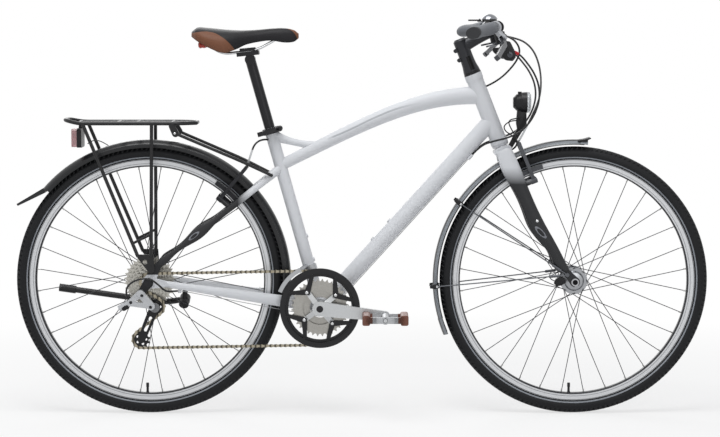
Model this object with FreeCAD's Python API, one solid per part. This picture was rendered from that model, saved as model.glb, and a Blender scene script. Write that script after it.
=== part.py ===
import FreeCAD, Part
import math
import os

# A hybrid city bicycle. X points forward, Y to the rider's left, Z up, all in millimetres.
# The origin is on the ground, midway between the two axles.

# Wheels
RIM_OUTER_RADIUS = 316.5
RIM_DEPTH = 19.5
RIM_INNER_RADIUS = RIM_OUTER_RADIUS - RIM_DEPTH
TYRE_HEIGHT = 33.5
TYRE_RADIUS = RIM_OUTER_RADIUS + TYRE_HEIGHT
TYRE_HALF_WIDTH = 19.0
TYRE_WALL = 3.0
WHEEL_ROOM = 406.0
WHEELBASE = 2 * TYRE_RADIUS + WHEEL_ROOM
RIM_HALF_WIDTH = 12.0
RIM_WALL = 1.6
SPOKE_COUNT = 32
SPOKE_RADIUS = 1.0
SPOKE_CROSSES = 3
SPOKE_HEAD_STAND = 1.6
FRONT_FLANGE_RADIUS = 35.0
FRONT_FLANGE_Y = 26.0
FRONT_BARREL_RADIUS = 30.0
REAR_FLANGE_RADIUS = 29.0
REAR_FLANGE_RIGHT_Y = -17.5
REAR_FLANGE_LEFT_Y = 33.0
REAR_BARREL_RADIUS = 15.0
FLANGE_THICK = 3.0
FLANGE_HOLE_INSET = 3.2
FRONT_AXLE_RADIUS = 4.5
REAR_AXLE_RADIUS = 5.0
FRONT_HUB_HALF = 50.0
REAR_HUB_HALF = 67.5
AXLE_CAP_RADIUS = 10.0

# Clearances
RUNNING_GAP = 0.05
SEAT_GAP = 0.1
BEAD_GAP = 0.1

# Frame
STAY_ROOM = 94.0
BOTTOM_BRACKET_AHEAD = TYRE_RADIUS + STAY_ROOM
BOTTOM_BRACKET_DROP = 67.0
SHELL_RADIUS = 21.0
SHELL_BORE = 17.5
SHELL_HALF = 34.0
SEAT_ANGLE = 74.25
SEAT_TUBE_LENGTH = 483.0
SEAT_TUBE_RADIUS = 16.0
HEAD_ANGLE = 68.57
HEAD_TUBE_LENGTH = 193.0
HEAD_TUBE_RADIUS = 21.5
HEAD_COLLAR_RADIUS = 23.0
HEAD_COLLAR_LENGTH = 16.0
HEAD_BORE = 17.5
TOP_TUBE_ABOVE_TYRE = 31.0
TOP_TUBE_SEAT_REACH = TYRE_RADIUS + TOP_TUBE_ABOVE_TYRE
TOP_TUBE_HEAD_DROP = 59.0
TOP_TUBE_RISE_ANGLE = 27.0
TOP_TUBE_REAR_PULL = 280.0
TOP_TUBE_FRONT_PULL = 160.0
STRUT_BELOW_TOP = 19.0
STRUT_SAG = 12.0
DOWN_TUBE_RADIUS = 21.5
DOWN_TUBE_DROP = 131.0
DOWN_TUBE_AHEAD = 8.0
BOTTLE_BOSS_RADIUS = 5.5
BOTTLE_HOLE_RADIUS = 2.5
BOTTLE_HOLE_DEPTH = 14.0
BOTTLE_BOSS_SPACING = 64.0
DOWN_TUBE_BOSS_REACH = 216.0
SEAT_TUBE_BOSS_REACH = 122.0
BOSS_STAND = 3.0
DROPOUT_THICK = 7.0
DROPOUT_RADIUS = 16.0
STAY_BRIDGE_RADIUS = 7.0

# Fork, steering and handlebar
FORK_OFFSET = 50.0
CROWN_ROOM = 54.5
FORK_LENGTH = TYRE_RADIUS + CROWN_ROOM
STEERER_RADIUS = 14.3
HEADSET_HEIGHT = 8.0
CROWN_DEPTH = 22.0
CROWN_HALF_LENGTH = 24.0
CROWN_HALF_WIDTH = 36.0
FORK_TIP_THICK = 7.0
STEM_RISE = 86.7
STEM_REACH = 85.6
STEM_COLUMN_RADIUS = 18.0
STEM_COLUMN_TOP = 98.0
BAR_RADIUS = 11.1
BAR_CLAMP_RADIUS = 12.7
BAR_HALF_WIDTH = 300.0
BAR_BEND_Y = 125.0
BAR_BEND_AHEAD = 14.6
BAR_BEND_RISE = 13.0
BAR_END_BACK = 57.4
BAR_END_RISE = -3.0
GRIP_LENGTH = 132.0

# Drive
CHAIN_Y = -59.0
CHAIN_PITCH = 12.7
ROLLER_RADIUS = 3.88
TOOTH_THICK = 1.8
RING_TEETH = 48
MIDDLE_TEETH = 36
INNER_TEETH = 26
RING_SPACING = 8.0
CASSETTE_TEETH = (11, 12, 14, 16, 18, 21, 24, 28, 32)
CASSETTE_SPACING = 4.34
FREEHUB_RADIUS = 15.0
PULLEY_TEETH = 11
GUIDE_PULLEY_AHEAD = 17.0
GUIDE_PULLEY_DROP = 64.0
CAGE_LENGTH = 93.0
CRANK_LENGTH = 170.0
CRANK_ANGLE = -6.5
CRANK_INNER_Y = 72.0
CRANK_THICK = 14.0
SPINDLE_RADIUS = 12.0
BOLT_CIRCLE_RADIUS = 52.0
GUARD_RADIUS = 104.0
PEDAL_SPINDLE_RADIUS = 5.0
PEDAL_LENGTH = 118.0
PEDAL_WIDTH = 88.0

# Brakes
BRAKE_PIVOT_BELOW = 25.0
BRAKE_PIVOT_Y = 40.0
BRAKE_ARM_LENGTH = 106.0
BRAKE_STUD_RADIUS = 4.0
BRAKE_BARREL_RADIUS = 8.0
BRAKE_BARREL_HALF = 8.0
FRONT_BRAKE_ANGLE = 180.57 - HEAD_ANGLE
REAR_STUD_STAND = 35.6
PAD_GAP = 1.6
PAD_THICK = 9.0
PAD_SPREAD = 6.5
PAD_POST_RADIUS = 3.0

# Saddle and post
POST_RADIUS = 13.6
POST_TOP = 668.0
POST_INSERT = 120.0
RAIL_RADIUS = 3.5
RAIL_HALF_SPAN = 22.0

# Fenders, rack and lights
FENDER_ROOM = 18.0
FENDER_RADIUS = TYRE_RADIUS + FENDER_ROOM
FENDER_HALF_WIDTH = 24.0
FENDER_DROP = 13.0
FENDER_WALL = 1.8
RACK_TUBE_RADIUS = 5.0
RACK_ROOM = 44.0
RACK_DECK_RISE = FENDER_RADIUS + RACK_ROOM
RACK_HALF_WIDTH = 62.0
RACK_REAR_REACH = 216.0
RACK_FRONT_REACH = 123.0
STAY_WIRE_RADIUS = 1.6
LAMP_RADIUS = 27.0

# Kickstand
STAND_AHEAD = 85.0
STAND_DROP = 58.0
STAND_Y = 62.0
STAND_LEG_RADIUS = 8.0
STAND_LEG_LENGTH = 335.0
STAND_PIN_RADIUS = 6.0

# Cables
HOUSING_RADIUS = 2.5
WIRE_RADIUS = 0.9

SIDEWAYS = FreeCAD.Vector(0, 1, 0)
UP = FreeCAD.Vector(0, 0, 1)


def vec(x, y, z):
    return FreeCAD.Vector(x, y, z)


def unit(vector):
    return vector * (1.0 / vector.Length)


def at_y(point, y):
    return vec(point.x, y, point.z)


def polar(centre, radius, angle, y=0.0):
    turn = math.radians(angle)
    return vec(centre.x + radius * math.cos(turn), y, centre.z + radius * math.sin(turn))


# Points of the frame that everything else hangs on
REAR_AXLE = vec(-WHEELBASE / 2, 0, TYRE_RADIUS)
FRONT_AXLE = vec(WHEELBASE / 2, 0, TYRE_RADIUS)
BOTTOM_BRACKET = REAR_AXLE + vec(BOTTOM_BRACKET_AHEAD, 0, -BOTTOM_BRACKET_DROP)
SEAT_UP = vec(-math.cos(math.radians(SEAT_ANGLE)), 0, math.sin(math.radians(SEAT_ANGLE)))
SEAT_FORWARD = vec(SEAT_UP.z, 0, -SEAT_UP.x)
STEER_UP = vec(-math.cos(math.radians(HEAD_ANGLE)), 0, math.sin(math.radians(HEAD_ANGLE)))
STEER_FORWARD = vec(STEER_UP.z, 0, -STEER_UP.x)
HEAD_BOTTOM = FRONT_AXLE - STEER_FORWARD * FORK_OFFSET + STEER_UP * FORK_LENGTH
HEAD_TOP = HEAD_BOTTOM + STEER_UP * HEAD_TUBE_LENGTH
SEAT_TOP = BOTTOM_BRACKET + SEAT_UP * SEAT_TUBE_LENGTH
BAR_CENTRE = HEAD_TOP + STEER_UP * STEM_RISE + STEER_FORWARD * STEM_REACH
POST_HEAD = BOTTOM_BRACKET + SEAT_UP * POST_TOP
STEERER_BORE = STEERER_RADIUS + RUNNING_GAP
DROPOUT_OUTER_Y = REAR_HUB_HALF + DROPOUT_THICK
FORK_TIP_OUTER_Y = FRONT_HUB_HALF + FORK_TIP_THICK


# Shape helpers
def rod(start, end, radius):
    return Part.makeCylinder(radius, (end - start).Length, start, end - start)


def rod_y(point, y_from, y_to, radius):
    return rod(at_y(point, y_from), at_y(point, y_to), radius)


def sleeve(start, end, outer, inner):
    return rod(start, end, outer).cut(rod(start, end, inner))


def join(shapes):
    return shapes[0].fuse(shapes[1:])


def mirrored(shape):
    return shape.mirror(vec(0, 0, 0), SIDEWAYS)


def face_of(points):
    return Part.Face(Part.makePolygon(points + points[:1]))


def prism(points, depth):
    return face_of(points).extrude(depth)


def spun(face, origin, axis, sweep=360.0):
    solid = face.revolve(origin, axis, sweep)
    if solid.Volume < 0:
        solid.reverse()
    return solid


def turned(profile, centre, start=0.0, sweep=360.0):
    """Turn a closed outline of (radius, y) pairs about the Y axis through a centre."""
    outline = [polar(centre, radius, start, y) for radius, y in profile]
    return spun(face_of(outline), centre, vec(0, -1, 0), sweep)


def turned_on(profile, origin, axis):
    """Turn a closed outline of (radius, height) pairs about any axis."""
    side = unit(SIDEWAYS.cross(axis)) if abs(axis.y) < 0.9 else vec(1, 0, 0)
    outline = [origin + side * radius + axis * height for radius, height in profile]
    return spun(face_of(outline), origin, axis)


def oval_loft(stations):
    """Loft a tube through (point, half height, half width) stations."""
    wires = []
    for index, (point, half_height, half_width) in enumerate(stations):
        before = stations[max(index - 1, 0)][0]
        after = stations[min(index + 1, len(stations) - 1)][0]
        along = unit(after - before)
        across = unit(SIDEWAYS - along * SIDEWAYS.dot(along))
        rise = across.cross(along)
        tall = point + rise * half_height
        wide = point + across * half_width
        if half_height > half_width:
            oval = Part.Ellipse(tall, wide, point)
        else:
            oval = Part.Ellipse(wide, tall, point)
        wires.append(Part.Wire([oval.toShape()]))
    return Part.makeLoft(wires, True, False)


def bezier(points, share):
    while len(points) > 1:
        points = [a * (1 - share) + b * share for a, b in zip(points, points[1:])]
    return points[0]


def rounded_path(points, fill=0.45):
    """Straight runs joined by tangent arcs that are as large as the runs allow."""
    edges = []
    last = points[0]
    for before, corner, after in zip(points, points[1:], points[2:]):
        inward = unit(before - corner)
        outward = unit(after - corner)
        reach = fill * min((before - corner).Length, (after - corner).Length)
        start = corner + inward * reach
        end = corner + outward * reach
        half_turn = (math.pi - inward.getAngle(outward)) / 2
        radius = reach / math.tan(half_turn)
        middle = corner + unit(inward + outward) * (radius / math.cos(half_turn) - radius)
        edges.append(Part.LineSegment(last, start).toShape())
        edges.append(Part.Arc(start, middle, end).toShape())
        last = end
    edges.append(Part.LineSegment(last, points[-1]).toShape())
    return Part.Wire(edges)


def bent_rod(points, radius, fill=0.45):
    path = rounded_path(points, fill)
    ring = Part.Wire([Part.Circle(points[0], points[1] - points[0], radius).toShape()])
    return path.makePipeShell([ring], True, False)


def link_face(start, start_radius, end, end_radius, normal):
    """Two discs and the tangents between them, as one flat face."""
    along = unit(end - start)
    across = normal.cross(along)
    lean = math.acos((start_radius - end_radius) / (end - start).Length)

    def on_rim(centre, radius, angle):
        return centre + along * (radius * math.cos(angle)) + across * (radius * math.sin(angle))

    edges = [
        Part.LineSegment(on_rim(start, start_radius, lean), on_rim(end, end_radius, lean)).toShape(),
        Part.Arc(on_rim(end, end_radius, lean), on_rim(end, end_radius, 0),
                 on_rim(end, end_radius, -lean)).toShape(),
        Part.LineSegment(on_rim(end, end_radius, -lean), on_rim(start, start_radius, -lean)).toShape(),
        Part.Arc(on_rim(start, start_radius, -lean), on_rim(start, start_radius, math.pi),
                 on_rim(start, start_radius, lean)).toShape(),
    ]
    return Part.Face(Part.Wire(edges))


def link(start, start_radius, end, end_radius, normal, low, high):
    face = link_face(start + normal * low, start_radius, end + normal * low, end_radius, normal)
    return face.extrude(normal * (high - low))


def link_y(start, start_radius, end, end_radius, y_from, y_to):
    low = min(y_from, y_to)
    high = max(y_from, y_to)
    return link(at_y(start, 0), start_radius, at_y(end, 0), end_radius, SIDEWAYS, low, high)


def keep(name, shapes):
    solids = [solid for shape in shapes for solid in shape.Solids]
    whole = solids[0] if len(solids) == 1 else Part.makeCompound(solids)
    whole.exportStep("parts/" + name + ".step")


os.makedirs("parts", exist_ok=True)


# Head tube, seat tube with the bottom bracket shell, and the main tubes
def seat_point(reach):
    return BOTTOM_BRACKET + SEAT_UP * reach


head_core = rod(HEAD_BOTTOM, HEAD_TOP, HEAD_TUBE_RADIUS)
head_solid = join([
    head_core,
    rod(HEAD_BOTTOM, HEAD_BOTTOM + STEER_UP * HEAD_COLLAR_LENGTH, HEAD_COLLAR_RADIUS),
    rod(HEAD_TOP - STEER_UP * HEAD_COLLAR_LENGTH, HEAD_TOP, HEAD_COLLAR_RADIUS),
])
head_tube = head_solid.cut(rod(HEAD_BOTTOM, HEAD_TOP, HEAD_BORE))
keep("head_tube", [head_tube])

post_bore = POST_RADIUS + RUNNING_GAP
shell_solid = rod_y(BOTTOM_BRACKET, -SHELL_HALF, SHELL_HALF, SHELL_RADIUS)
seat_solid = join([rod(BOTTOM_BRACKET, SEAT_TOP, SEAT_TUBE_RADIUS), shell_solid])


def with_bosses(tube, feet, outward, tube_radius):
    for foot in feet:
        face = foot + outward * (tube_radius + BOSS_STAND)
        root = face - outward * BOTTLE_HOLE_DEPTH
        tube = tube.fuse(rod(root, face, BOTTLE_BOSS_RADIUS)).cut(rod(root, face, BOTTLE_HOLE_RADIUS))
    return tube


post_space = rod(seat_point(SHELL_RADIUS), SEAT_TOP, post_bore)
seat_tube = seat_solid.cut(rod_y(BOTTOM_BRACKET, -SHELL_HALF, SHELL_HALF, SHELL_BORE))
seat_boss_feet = [seat_point(SEAT_TUBE_BOSS_REACH + step) for step in (0, BOTTLE_BOSS_SPACING)]
seat_tube = with_bosses(seat_tube.cut(post_space), seat_boss_feet, SEAT_FORWARD, SEAT_TUBE_RADIUS)
keep("seat_tube", [seat_tube])

top_rear = seat_point(TOP_TUBE_SEAT_REACH)
top_front = HEAD_TOP - STEER_UP * TOP_TUBE_HEAD_DROP
rise_angle = math.radians(TOP_TUBE_RISE_ANGLE)
top_curve = [
    top_rear,
    top_rear + vec(math.cos(rise_angle), 0, math.sin(rise_angle)) * TOP_TUBE_REAR_PULL,
    top_front - vec(TOP_TUBE_FRONT_PULL, 0, 0),
    top_front,
]
TOP_TUBE_REAR_HALF = (14.5, 13.5)
TOP_TUBE_FRONT_HALF = (23.5, 19.0)
TOP_TUBE_STATIONS = 8


def between(start, end, share):
    return start + (end - start) * share


top_shares = [index / (TOP_TUBE_STATIONS - 1) for index in range(TOP_TUBE_STATIONS)]
top_loft = oval_loft([
    (bezier(top_curve, share),
     between(TOP_TUBE_REAR_HALF[0], TOP_TUBE_FRONT_HALF[0], share),
     between(TOP_TUBE_REAR_HALF[1], TOP_TUBE_FRONT_HALF[1], share))
    for share in top_shares
])
strut_start = seat_point(SEAT_TUBE_LENGTH - STRUT_BELOW_TOP)
strut_end = bezier(top_curve, 0.15)
strut_curve = [strut_start, (strut_start + strut_end) * 0.5 - UP * STRUT_SAG, strut_end]
STRUT_HALVES = ((17.0, 9.0), (11.0, 8.5), (9.0, 8.0), (9.5, 8.0), (10.0, 8.0))
strut = oval_loft([
    (bezier(strut_curve, index / (len(STRUT_HALVES) - 1)), half_height, half_width)
    for index, (half_height, half_width) in enumerate(STRUT_HALVES)
])
top_tube = top_loft.fuse(strut).cut(head_solid).cut(seat_solid)
keep("top_tube", [max(top_tube.Solids, key=lambda solid: solid.Volume)])

down_top = HEAD_TOP - STEER_UP * DOWN_TUBE_DROP
down_foot = BOTTOM_BRACKET + vec(DOWN_TUBE_AHEAD, 0, 0)
down_up = unit(down_top - down_foot)
down_outward = vec(-down_up.z, 0, down_up.x)
down_core = rod(down_foot, down_top, DOWN_TUBE_RADIUS)
down_tube = down_core.cut(head_solid).cut(seat_solid).cut(top_loft)
down_tube = max(down_tube.Solids, key=lambda solid: solid.Volume)
down_boss_feet = [down_foot + down_up * (DOWN_TUBE_BOSS_REACH + step) for step in (0, BOTTLE_BOSS_SPACING)]
down_tube = with_bosses(down_tube, down_boss_feet, down_outward, DOWN_TUBE_RADIUS)

# Cable stops under the down tube, brazed on in a pair
CABLE_STOP_BELOW = 113.35
CABLE_STOP_REACH = (down_top - down_foot).Length - CABLE_STOP_BELOW
CABLE_STOP_LENGTH = 16.0
CABLE_STOP_RADIUS = 4.2
CABLE_Y = 9.0
CABLE_STOP_SINK = 1.5
cable_distance = DOWN_TUBE_RADIUS + CABLE_STOP_RADIUS - CABLE_STOP_SINK
cable_line = down_outward * -math.sqrt(cable_distance ** 2 - CABLE_Y ** 2)


def cable_point(reach, y):
    return at_y(down_foot + down_up * reach + cable_line, y)


for side in (-1, 1):
    down_tube = down_tube.fuse(rod(
        cable_point(CABLE_STOP_REACH, side * CABLE_Y),
        cable_point(CABLE_STOP_REACH + CABLE_STOP_LENGTH, side * CABLE_Y),
        CABLE_STOP_RADIUS,
    ))
keep("down_tube", [down_tube])

# Bearing cups: two for the headset and two for the bottom bracket
CUP_SKIRT = 12.0
CUP_RADIUS = 21.0
SHELL_CUP_FACE = 4.0


def headset_cup(seat, outward):
    profile = [
        (STEERER_BORE, -CUP_SKIRT), (HEAD_BORE, -CUP_SKIRT), (HEAD_BORE, 0), (HEAD_COLLAR_RADIUS, 0),
        (HEAD_COLLAR_RADIUS - 1.5, HEADSET_HEIGHT - RUNNING_GAP),
        (STEERER_BORE, HEADSET_HEIGHT - RUNNING_GAP),
    ]
    return turned_on(profile, seat, outward)


spindle_bore = SPINDLE_RADIUS + RUNNING_GAP
shell_cup = turned([
    (spindle_bore, SHELL_HALF - CUP_SKIRT), (SHELL_BORE, SHELL_HALF - CUP_SKIRT), (SHELL_BORE, SHELL_HALF),
    (CUP_RADIUS, SHELL_HALF), (CUP_RADIUS, SHELL_HALF + SHELL_CUP_FACE),
    (spindle_bore, SHELL_HALF + SHELL_CUP_FACE),
], BOTTOM_BRACKET)
keep("bearing_cups", [
    headset_cup(HEAD_TOP, STEER_UP), headset_cup(HEAD_BOTTOM, STEER_UP * -1),
    shell_cup, mirrored(shell_cup),
])

# Chainstays with the rear dropouts, the rack eyelets and the kickstand bracket
CHAINSTAY_END = REAR_AXLE + vec(40, 0, -3)
SEATSTAY_END = REAR_AXLE + vec(26, 0, 46)
RACK_EYELET = REAR_AXLE + vec(8, 0, 32)
CHAINSTAY_END_RADIUS = 9.0
SEATSTAY_END_RADIUS = 8.0
EYELET_RADIUS = 7.0
CHAINSTAY_STATIONS = (
    (0.02, 22.0, 15.5, 9.0), (0.13, 31.5, 15.5, 9.0), (0.40, 44.0, 14.0, 9.0),
    (0.74, 59.0, 10.5, 8.0), (1.00, 69.5, 8.5, 5.0),
)


def left_chainstay():
    stations = [
        (at_y(between(BOTTOM_BRACKET, CHAINSTAY_END, share), y), half_height, half_width)
        for share, y, half_height, half_width in CHAINSTAY_STATIONS
    ]
    return oval_loft(stations)


def left_dropout():
    plate = join([
        link_y(REAR_AXLE, DROPOUT_RADIUS, CHAINSTAY_END, CHAINSTAY_END_RADIUS, REAR_HUB_HALF,
               DROPOUT_OUTER_Y),
        link_y(REAR_AXLE, DROPOUT_RADIUS, SEATSTAY_END, SEATSTAY_END_RADIUS, REAR_HUB_HALF,
               DROPOUT_OUTER_Y),
        rod_y(RACK_EYELET, REAR_HUB_HALF, DROPOUT_OUTER_Y, EYELET_RADIUS),
    ])
    slot_half = REAR_AXLE_RADIUS + SEAT_GAP
    slot = rod_y(REAR_AXLE, REAR_HUB_HALF, DROPOUT_OUTER_Y, slot_half)
    mouth = Part.makeBox(2 * slot_half, DROPOUT_THICK, 2 * DROPOUT_RADIUS,
                         REAR_AXLE + vec(-slot_half, REAR_HUB_HALF, -2 * DROPOUT_RADIUS))
    return plate.cut(slot).cut(mouth)


dropout = left_dropout()
chainstay = left_chainstay().fuse(dropout)
STAND_PIVOT = REAR_AXLE + vec(STAND_AHEAD, STAND_Y, -STAND_DROP)
STAND_FOLDED = unit(vec(-337, 16, 30))
STAND_DOWN = unit(vec(0.36, 0.48, -0.80))
STAND_AXIS = unit(STAND_DOWN.cross(STAND_FOLDED))
STAND_HUB_RADIUS = 14.0
STAND_HUB_HALF = 9.0
STAND_BLOCK_LENGTH = 14.0
stand_block_face = STAND_PIVOT - STAND_AXIS * (STAND_HUB_HALF + SEAT_GAP)
stand_block_back = stand_block_face - STAND_AXIS * STAND_BLOCK_LENGTH
stand_block_middle = (stand_block_face + stand_block_back) * 0.5
stand_perch = at_y(between(BOTTOM_BRACKET, CHAINSTAY_END, 0.88), stand_block_middle.y + 8)
STAND_HUB_ROOM = 0.4
stand_room = rod(stand_block_face, STAND_PIVOT + STAND_AXIS * 30, STAND_HUB_RADIUS + STAND_HUB_ROOM)
stand_bracket = join([
    rod(stand_block_back, stand_block_face, STAND_HUB_RADIUS - 1),
    rod(stand_block_middle, stand_perch, STAND_BLOCK_LENGTH / 2).cut(stand_room),
    rod(stand_block_face, STAND_PIVOT + STAND_AXIS * (STAND_HUB_HALF + 2), STAND_PIN_RADIUS),
])
CHAINSTAY_STOP = at_y(between(BOTTOM_BRACKET, CHAINSTAY_END, 0.90), -62)
STAY_STOP_RADIUS = 4.5
stay_stop = rod(CHAINSTAY_STOP - UP * 4, CHAINSTAY_STOP - UP * 18, STAY_STOP_RADIUS)
right_chainstay = mirrored(chainstay).fuse(stay_stop)
cup_face = SHELL_HALF + SHELL_CUP_FACE
CUP_ROOM = 0.3
cup_space = rod_y(BOTTOM_BRACKET, -cup_face - CUP_ROOM, cup_face + CUP_ROOM, CUP_RADIUS)
frame_middle = join([cup_space, rod(BOTTOM_BRACKET, SEAT_TOP, SEAT_TUBE_RADIUS), down_core])
chainstays = right_chainstay.fuse(chainstay.fuse(stand_bracket)).cut(frame_middle)
keep("chainstays", [chainstays])

# Seatstays: a wishbone with a bridge over the tyre and the studs of the rear brake
RIM_TRACK_RADIUS = RIM_OUTER_RADIUS - 7.5
BRAKE_PIVOT_RADIUS = RIM_TRACK_RADIUS - BRAKE_PIVOT_BELOW
SEATSTAY_ABOVE_TYRE = 26.0
SEATSTAY_ROOT = seat_point(TYRE_RADIUS + SEATSTAY_ABOVE_TYRE)
SEATSTAY_STATIONS = (
    (0.00, 70.5, 7.5, 4.0), (0.09, 68.0, 8.0, 6.0), (0.24, 61.0, 10.0, 7.0), (0.33, 57.0, 14.5, 8.0),
    (0.43, 53.0, 9.5, 7.5), (0.61, 46.0, 8.5, 7.5), (0.79, 39.0, 8.8, 8.0), (0.91, 20.0, 10.5, 9.0),
    (0.99, 9.0, 11.0, 9.0),
)
STAY_BRIDGE_ROOM = 11.2


def stay_share(radius):
    """Where along a seatstay its line is a given distance from the axle."""
    foot = SEATSTAY_END - REAR_AXLE
    reach = SEATSTAY_ROOT - SEATSTAY_END
    middle = foot.dot(reach)
    square = reach.dot(reach)
    return (math.sqrt(middle ** 2 - square * (foot.dot(foot) - radius ** 2)) - middle) / square




def left_seatstay():
    stations = [
        (at_y(between(SEATSTAY_END, SEATSTAY_ROOT, share), y), half_height, half_width)
        for share, y, half_height, half_width in SEATSTAY_STATIONS
    ]
    return oval_loft(stations)


def brake_place(axle, angle, outward_turn):
    """Pivot point, radial direction and outward tangent of a rim brake."""
    pivot = polar(axle, BRAKE_PIVOT_RADIUS, angle)
    radial = unit(pivot - axle)
    tangent = vec(-radial.z, 0, radial.x) * outward_turn
    return pivot, radial, tangent


STUD_BASE_RADIUS = 7.0
STUD_ROOT = 30.0


def brake_stud(place):
    pivot, radial, tangent = place
    shoulder = pivot - tangent * (BRAKE_BARREL_HALF + SEAT_GAP)
    base = rod(shoulder - tangent * (STUD_ROOT - BRAKE_BARREL_HALF), shoulder, STUD_BASE_RADIUS)
    stud = rod(shoulder, pivot + tangent * (BRAKE_BARREL_HALF + 1), BRAKE_STUD_RADIUS)
    both = base.fuse(stud)
    both.translate(vec(0, BRAKE_PIVOT_Y, 0))
    return both


stay_way = unit(SEATSTAY_ROOT - SEATSTAY_END)
stay_normal = vec(-stay_way.z, 0, stay_way.x)
stud_line = REAR_STUD_STAND + (SEATSTAY_END - REAR_AXLE).dot(stay_normal)
normal_angle = math.degrees(math.atan2(stay_normal.z, stay_normal.x))
REAR_BRAKE_ANGLE = normal_angle - math.degrees(math.acos(stud_line / BRAKE_PIVOT_RADIUS))
rear_brake = brake_place(REAR_AXLE, REAR_BRAKE_ANGLE, 1)
left_stay = left_seatstay().fuse(brake_stud(rear_brake))
stay_bridge = at_y(between(SEATSTAY_END, SEATSTAY_ROOT, stay_share(FENDER_RADIUS + STAY_BRIDGE_ROOM)), 0)
seatstays = join([left_stay, mirrored(left_stay), rod_y(stay_bridge, -36, 36, STAY_BRIDGE_RADIUS)])
seatstays = seatstays.cut(seat_solid).cut(dropout).cut(mirrored(dropout))
seatstays = max(seatstays.Solids, key=lambda solid: solid.Volume)
keep("seatstays", [seatstays])

# Seat clamp with its cam bolt, and the quick-release lever on it
COLLAR_HEIGHT = 16.0
COLLAR_RADIUS = 20.5
EAR_REACH = 25.0
EAR_HALF = 8.0
CAM_Y = -26.0
CAM_EYE_HALF = 2.5
CAM_PIN_RADIUS = 2.5
CAM_HALF = 6.0
LEVER_BACK = 54.0
collar_low = SEAT_TOP - SEAT_UP * COLLAR_HEIGHT
collar_middle = SEAT_TOP - SEAT_UP * (COLLAR_HEIGHT / 2)
ear = collar_middle + SEAT_FORWARD * EAR_REACH
cam_pivot = at_y(ear, CAM_Y)
collar_bore = rod(collar_low, SEAT_TOP, SEAT_TUBE_RADIUS + RUNNING_GAP)
collar = join([
    rod(collar_low, SEAT_TOP, COLLAR_RADIUS),
    link(collar_middle, EAR_HALF - 0.5, ear, EAR_HALF - 0.6, SIDEWAYS, -EAR_HALF, EAR_HALF),
]).cut(collar_bore)
collar = join([
    collar,
    rod_y(ear, -EAR_HALF, CAM_Y, CAM_EYE_HALF - SEAT_GAP),
    rod_y(ear, EAR_HALF, EAR_HALF + 4, 5),
    rod(cam_pivot - SEAT_UP * CAM_EYE_HALF, cam_pivot + SEAT_UP * CAM_EYE_HALF, 4.5),
    rod(cam_pivot - SEAT_UP * (CAM_HALF + 1), cam_pivot + SEAT_UP * (CAM_HALF + 1), CAM_PIN_RADIUS),
])
collar = collar.cut(top_tube).cut(seat_solid)
keep("seat_clamp", [max(collar.Solids, key=lambda solid: solid.Volume)])
lever_tip = cam_pivot - SEAT_FORWARD * LEVER_BACK - SIDEWAYS * 7
cam_slot = rod(cam_pivot - SEAT_UP * (CAM_EYE_HALF + SEAT_GAP),
               cam_pivot + SEAT_UP * (CAM_EYE_HALF + SEAT_GAP), 11)
cam_hole = rod(cam_pivot - SEAT_UP * CAM_HALF, cam_pivot + SEAT_UP * CAM_HALF, CAM_PIN_RADIUS + RUNNING_GAP)
qr_lever = link(cam_pivot, 6, lever_tip, 5, SEAT_UP, -CAM_HALF, CAM_HALF).cut(cam_slot).cut(cam_hole)
keep("seat_qr_lever", [qr_lever])

# Seat post, saddle rails and saddle
RAIL_PITCH = 6.0
RAIL_BACK = 6.0
RAIL_RISE = 21.0
rail_along = vec(math.cos(math.radians(RAIL_PITCH)), 0, math.sin(math.radians(RAIL_PITCH)))
rail_up = vec(-rail_along.z, 0, rail_along.x)
rail_middle = POST_HEAD + vec(-RAIL_BACK, 0, RAIL_RISE)


def saddle_point(ahead, y, rise):
    return rail_middle + vec(ahead, y, rise)


left_rail = bent_rod([
    saddle_point(-120, 40, 44), saddle_point(-104, 36, 20), saddle_point(-66, RAIL_HALF_SPAN, -7),
    saddle_point(22, RAIL_HALF_SPAN, 2.3), saddle_point(70, 14, 29), saddle_point(88, 9, 43),
], RAIL_RADIUS)
rails = [left_rail, mirrored(left_rail)]
keep("saddle_rails", rails)
CRADLE_HALF_WIDTH = 28.0
CRADLE_LENGTH = 58.0
CRADLE_DEPTH = 11.0
CLAMP_LENGTH = 40.0
CLAMP_DEPTH = 9.0


def cradle_block(length, low, high, half_width):
    corners = [
        rail_middle + rail_along * (end * length / 2) + rail_up * height - SIDEWAYS * half_width
        for end, height in ((-1, low), (1, low), (1, high), (-1, high))
    ]
    return prism(corners, SIDEWAYS * (2 * half_width))


post_low = SEAT_TOP - SEAT_UP * POST_INSERT
post = join([
    rod(post_low, POST_HEAD, POST_RADIUS),
    rod_y(POST_HEAD, -20, 20, POST_RADIUS),
    cradle_block(CRADLE_LENGTH, -CRADLE_DEPTH, -0.5, CRADLE_HALF_WIDTH),
])
rail_clamp = cradle_block(CLAMP_LENGTH, 0.5, CLAMP_DEPTH, CRADLE_HALF_WIDTH)
clamp_bolt = rod(rail_middle - rail_up * 0.5, rail_middle + rail_up * 0.5, 6)
rail_clamp = rail_clamp.fuse(clamp_bolt)
for rail in rails:
    post = post.cut(rail)
    rail_clamp = rail_clamp.cut(rail)
keep("seat_post", [post, rail_clamp])

# Saddle sections from tail to nose: ahead, half width, top and lower edge above the rail clamp
SADDLE_SECTIONS = (
    (-144, 38, 52, 38), (-130, 60, 62, 28), (-104, 74, 61, 13), (-62, 77, 57, -3), (-36, 66, 55, 3),
    (-8, 47, 54.5, 16), (25, 32, 56, 24), (60, 24, 59, 28), (95, 21, 60, 23), (120, 16, 55, 25),
    (132, 8, 46, 34),
)
SADDLE_SHELL = 10.0
SADDLE_PAD = 20.0


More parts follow.
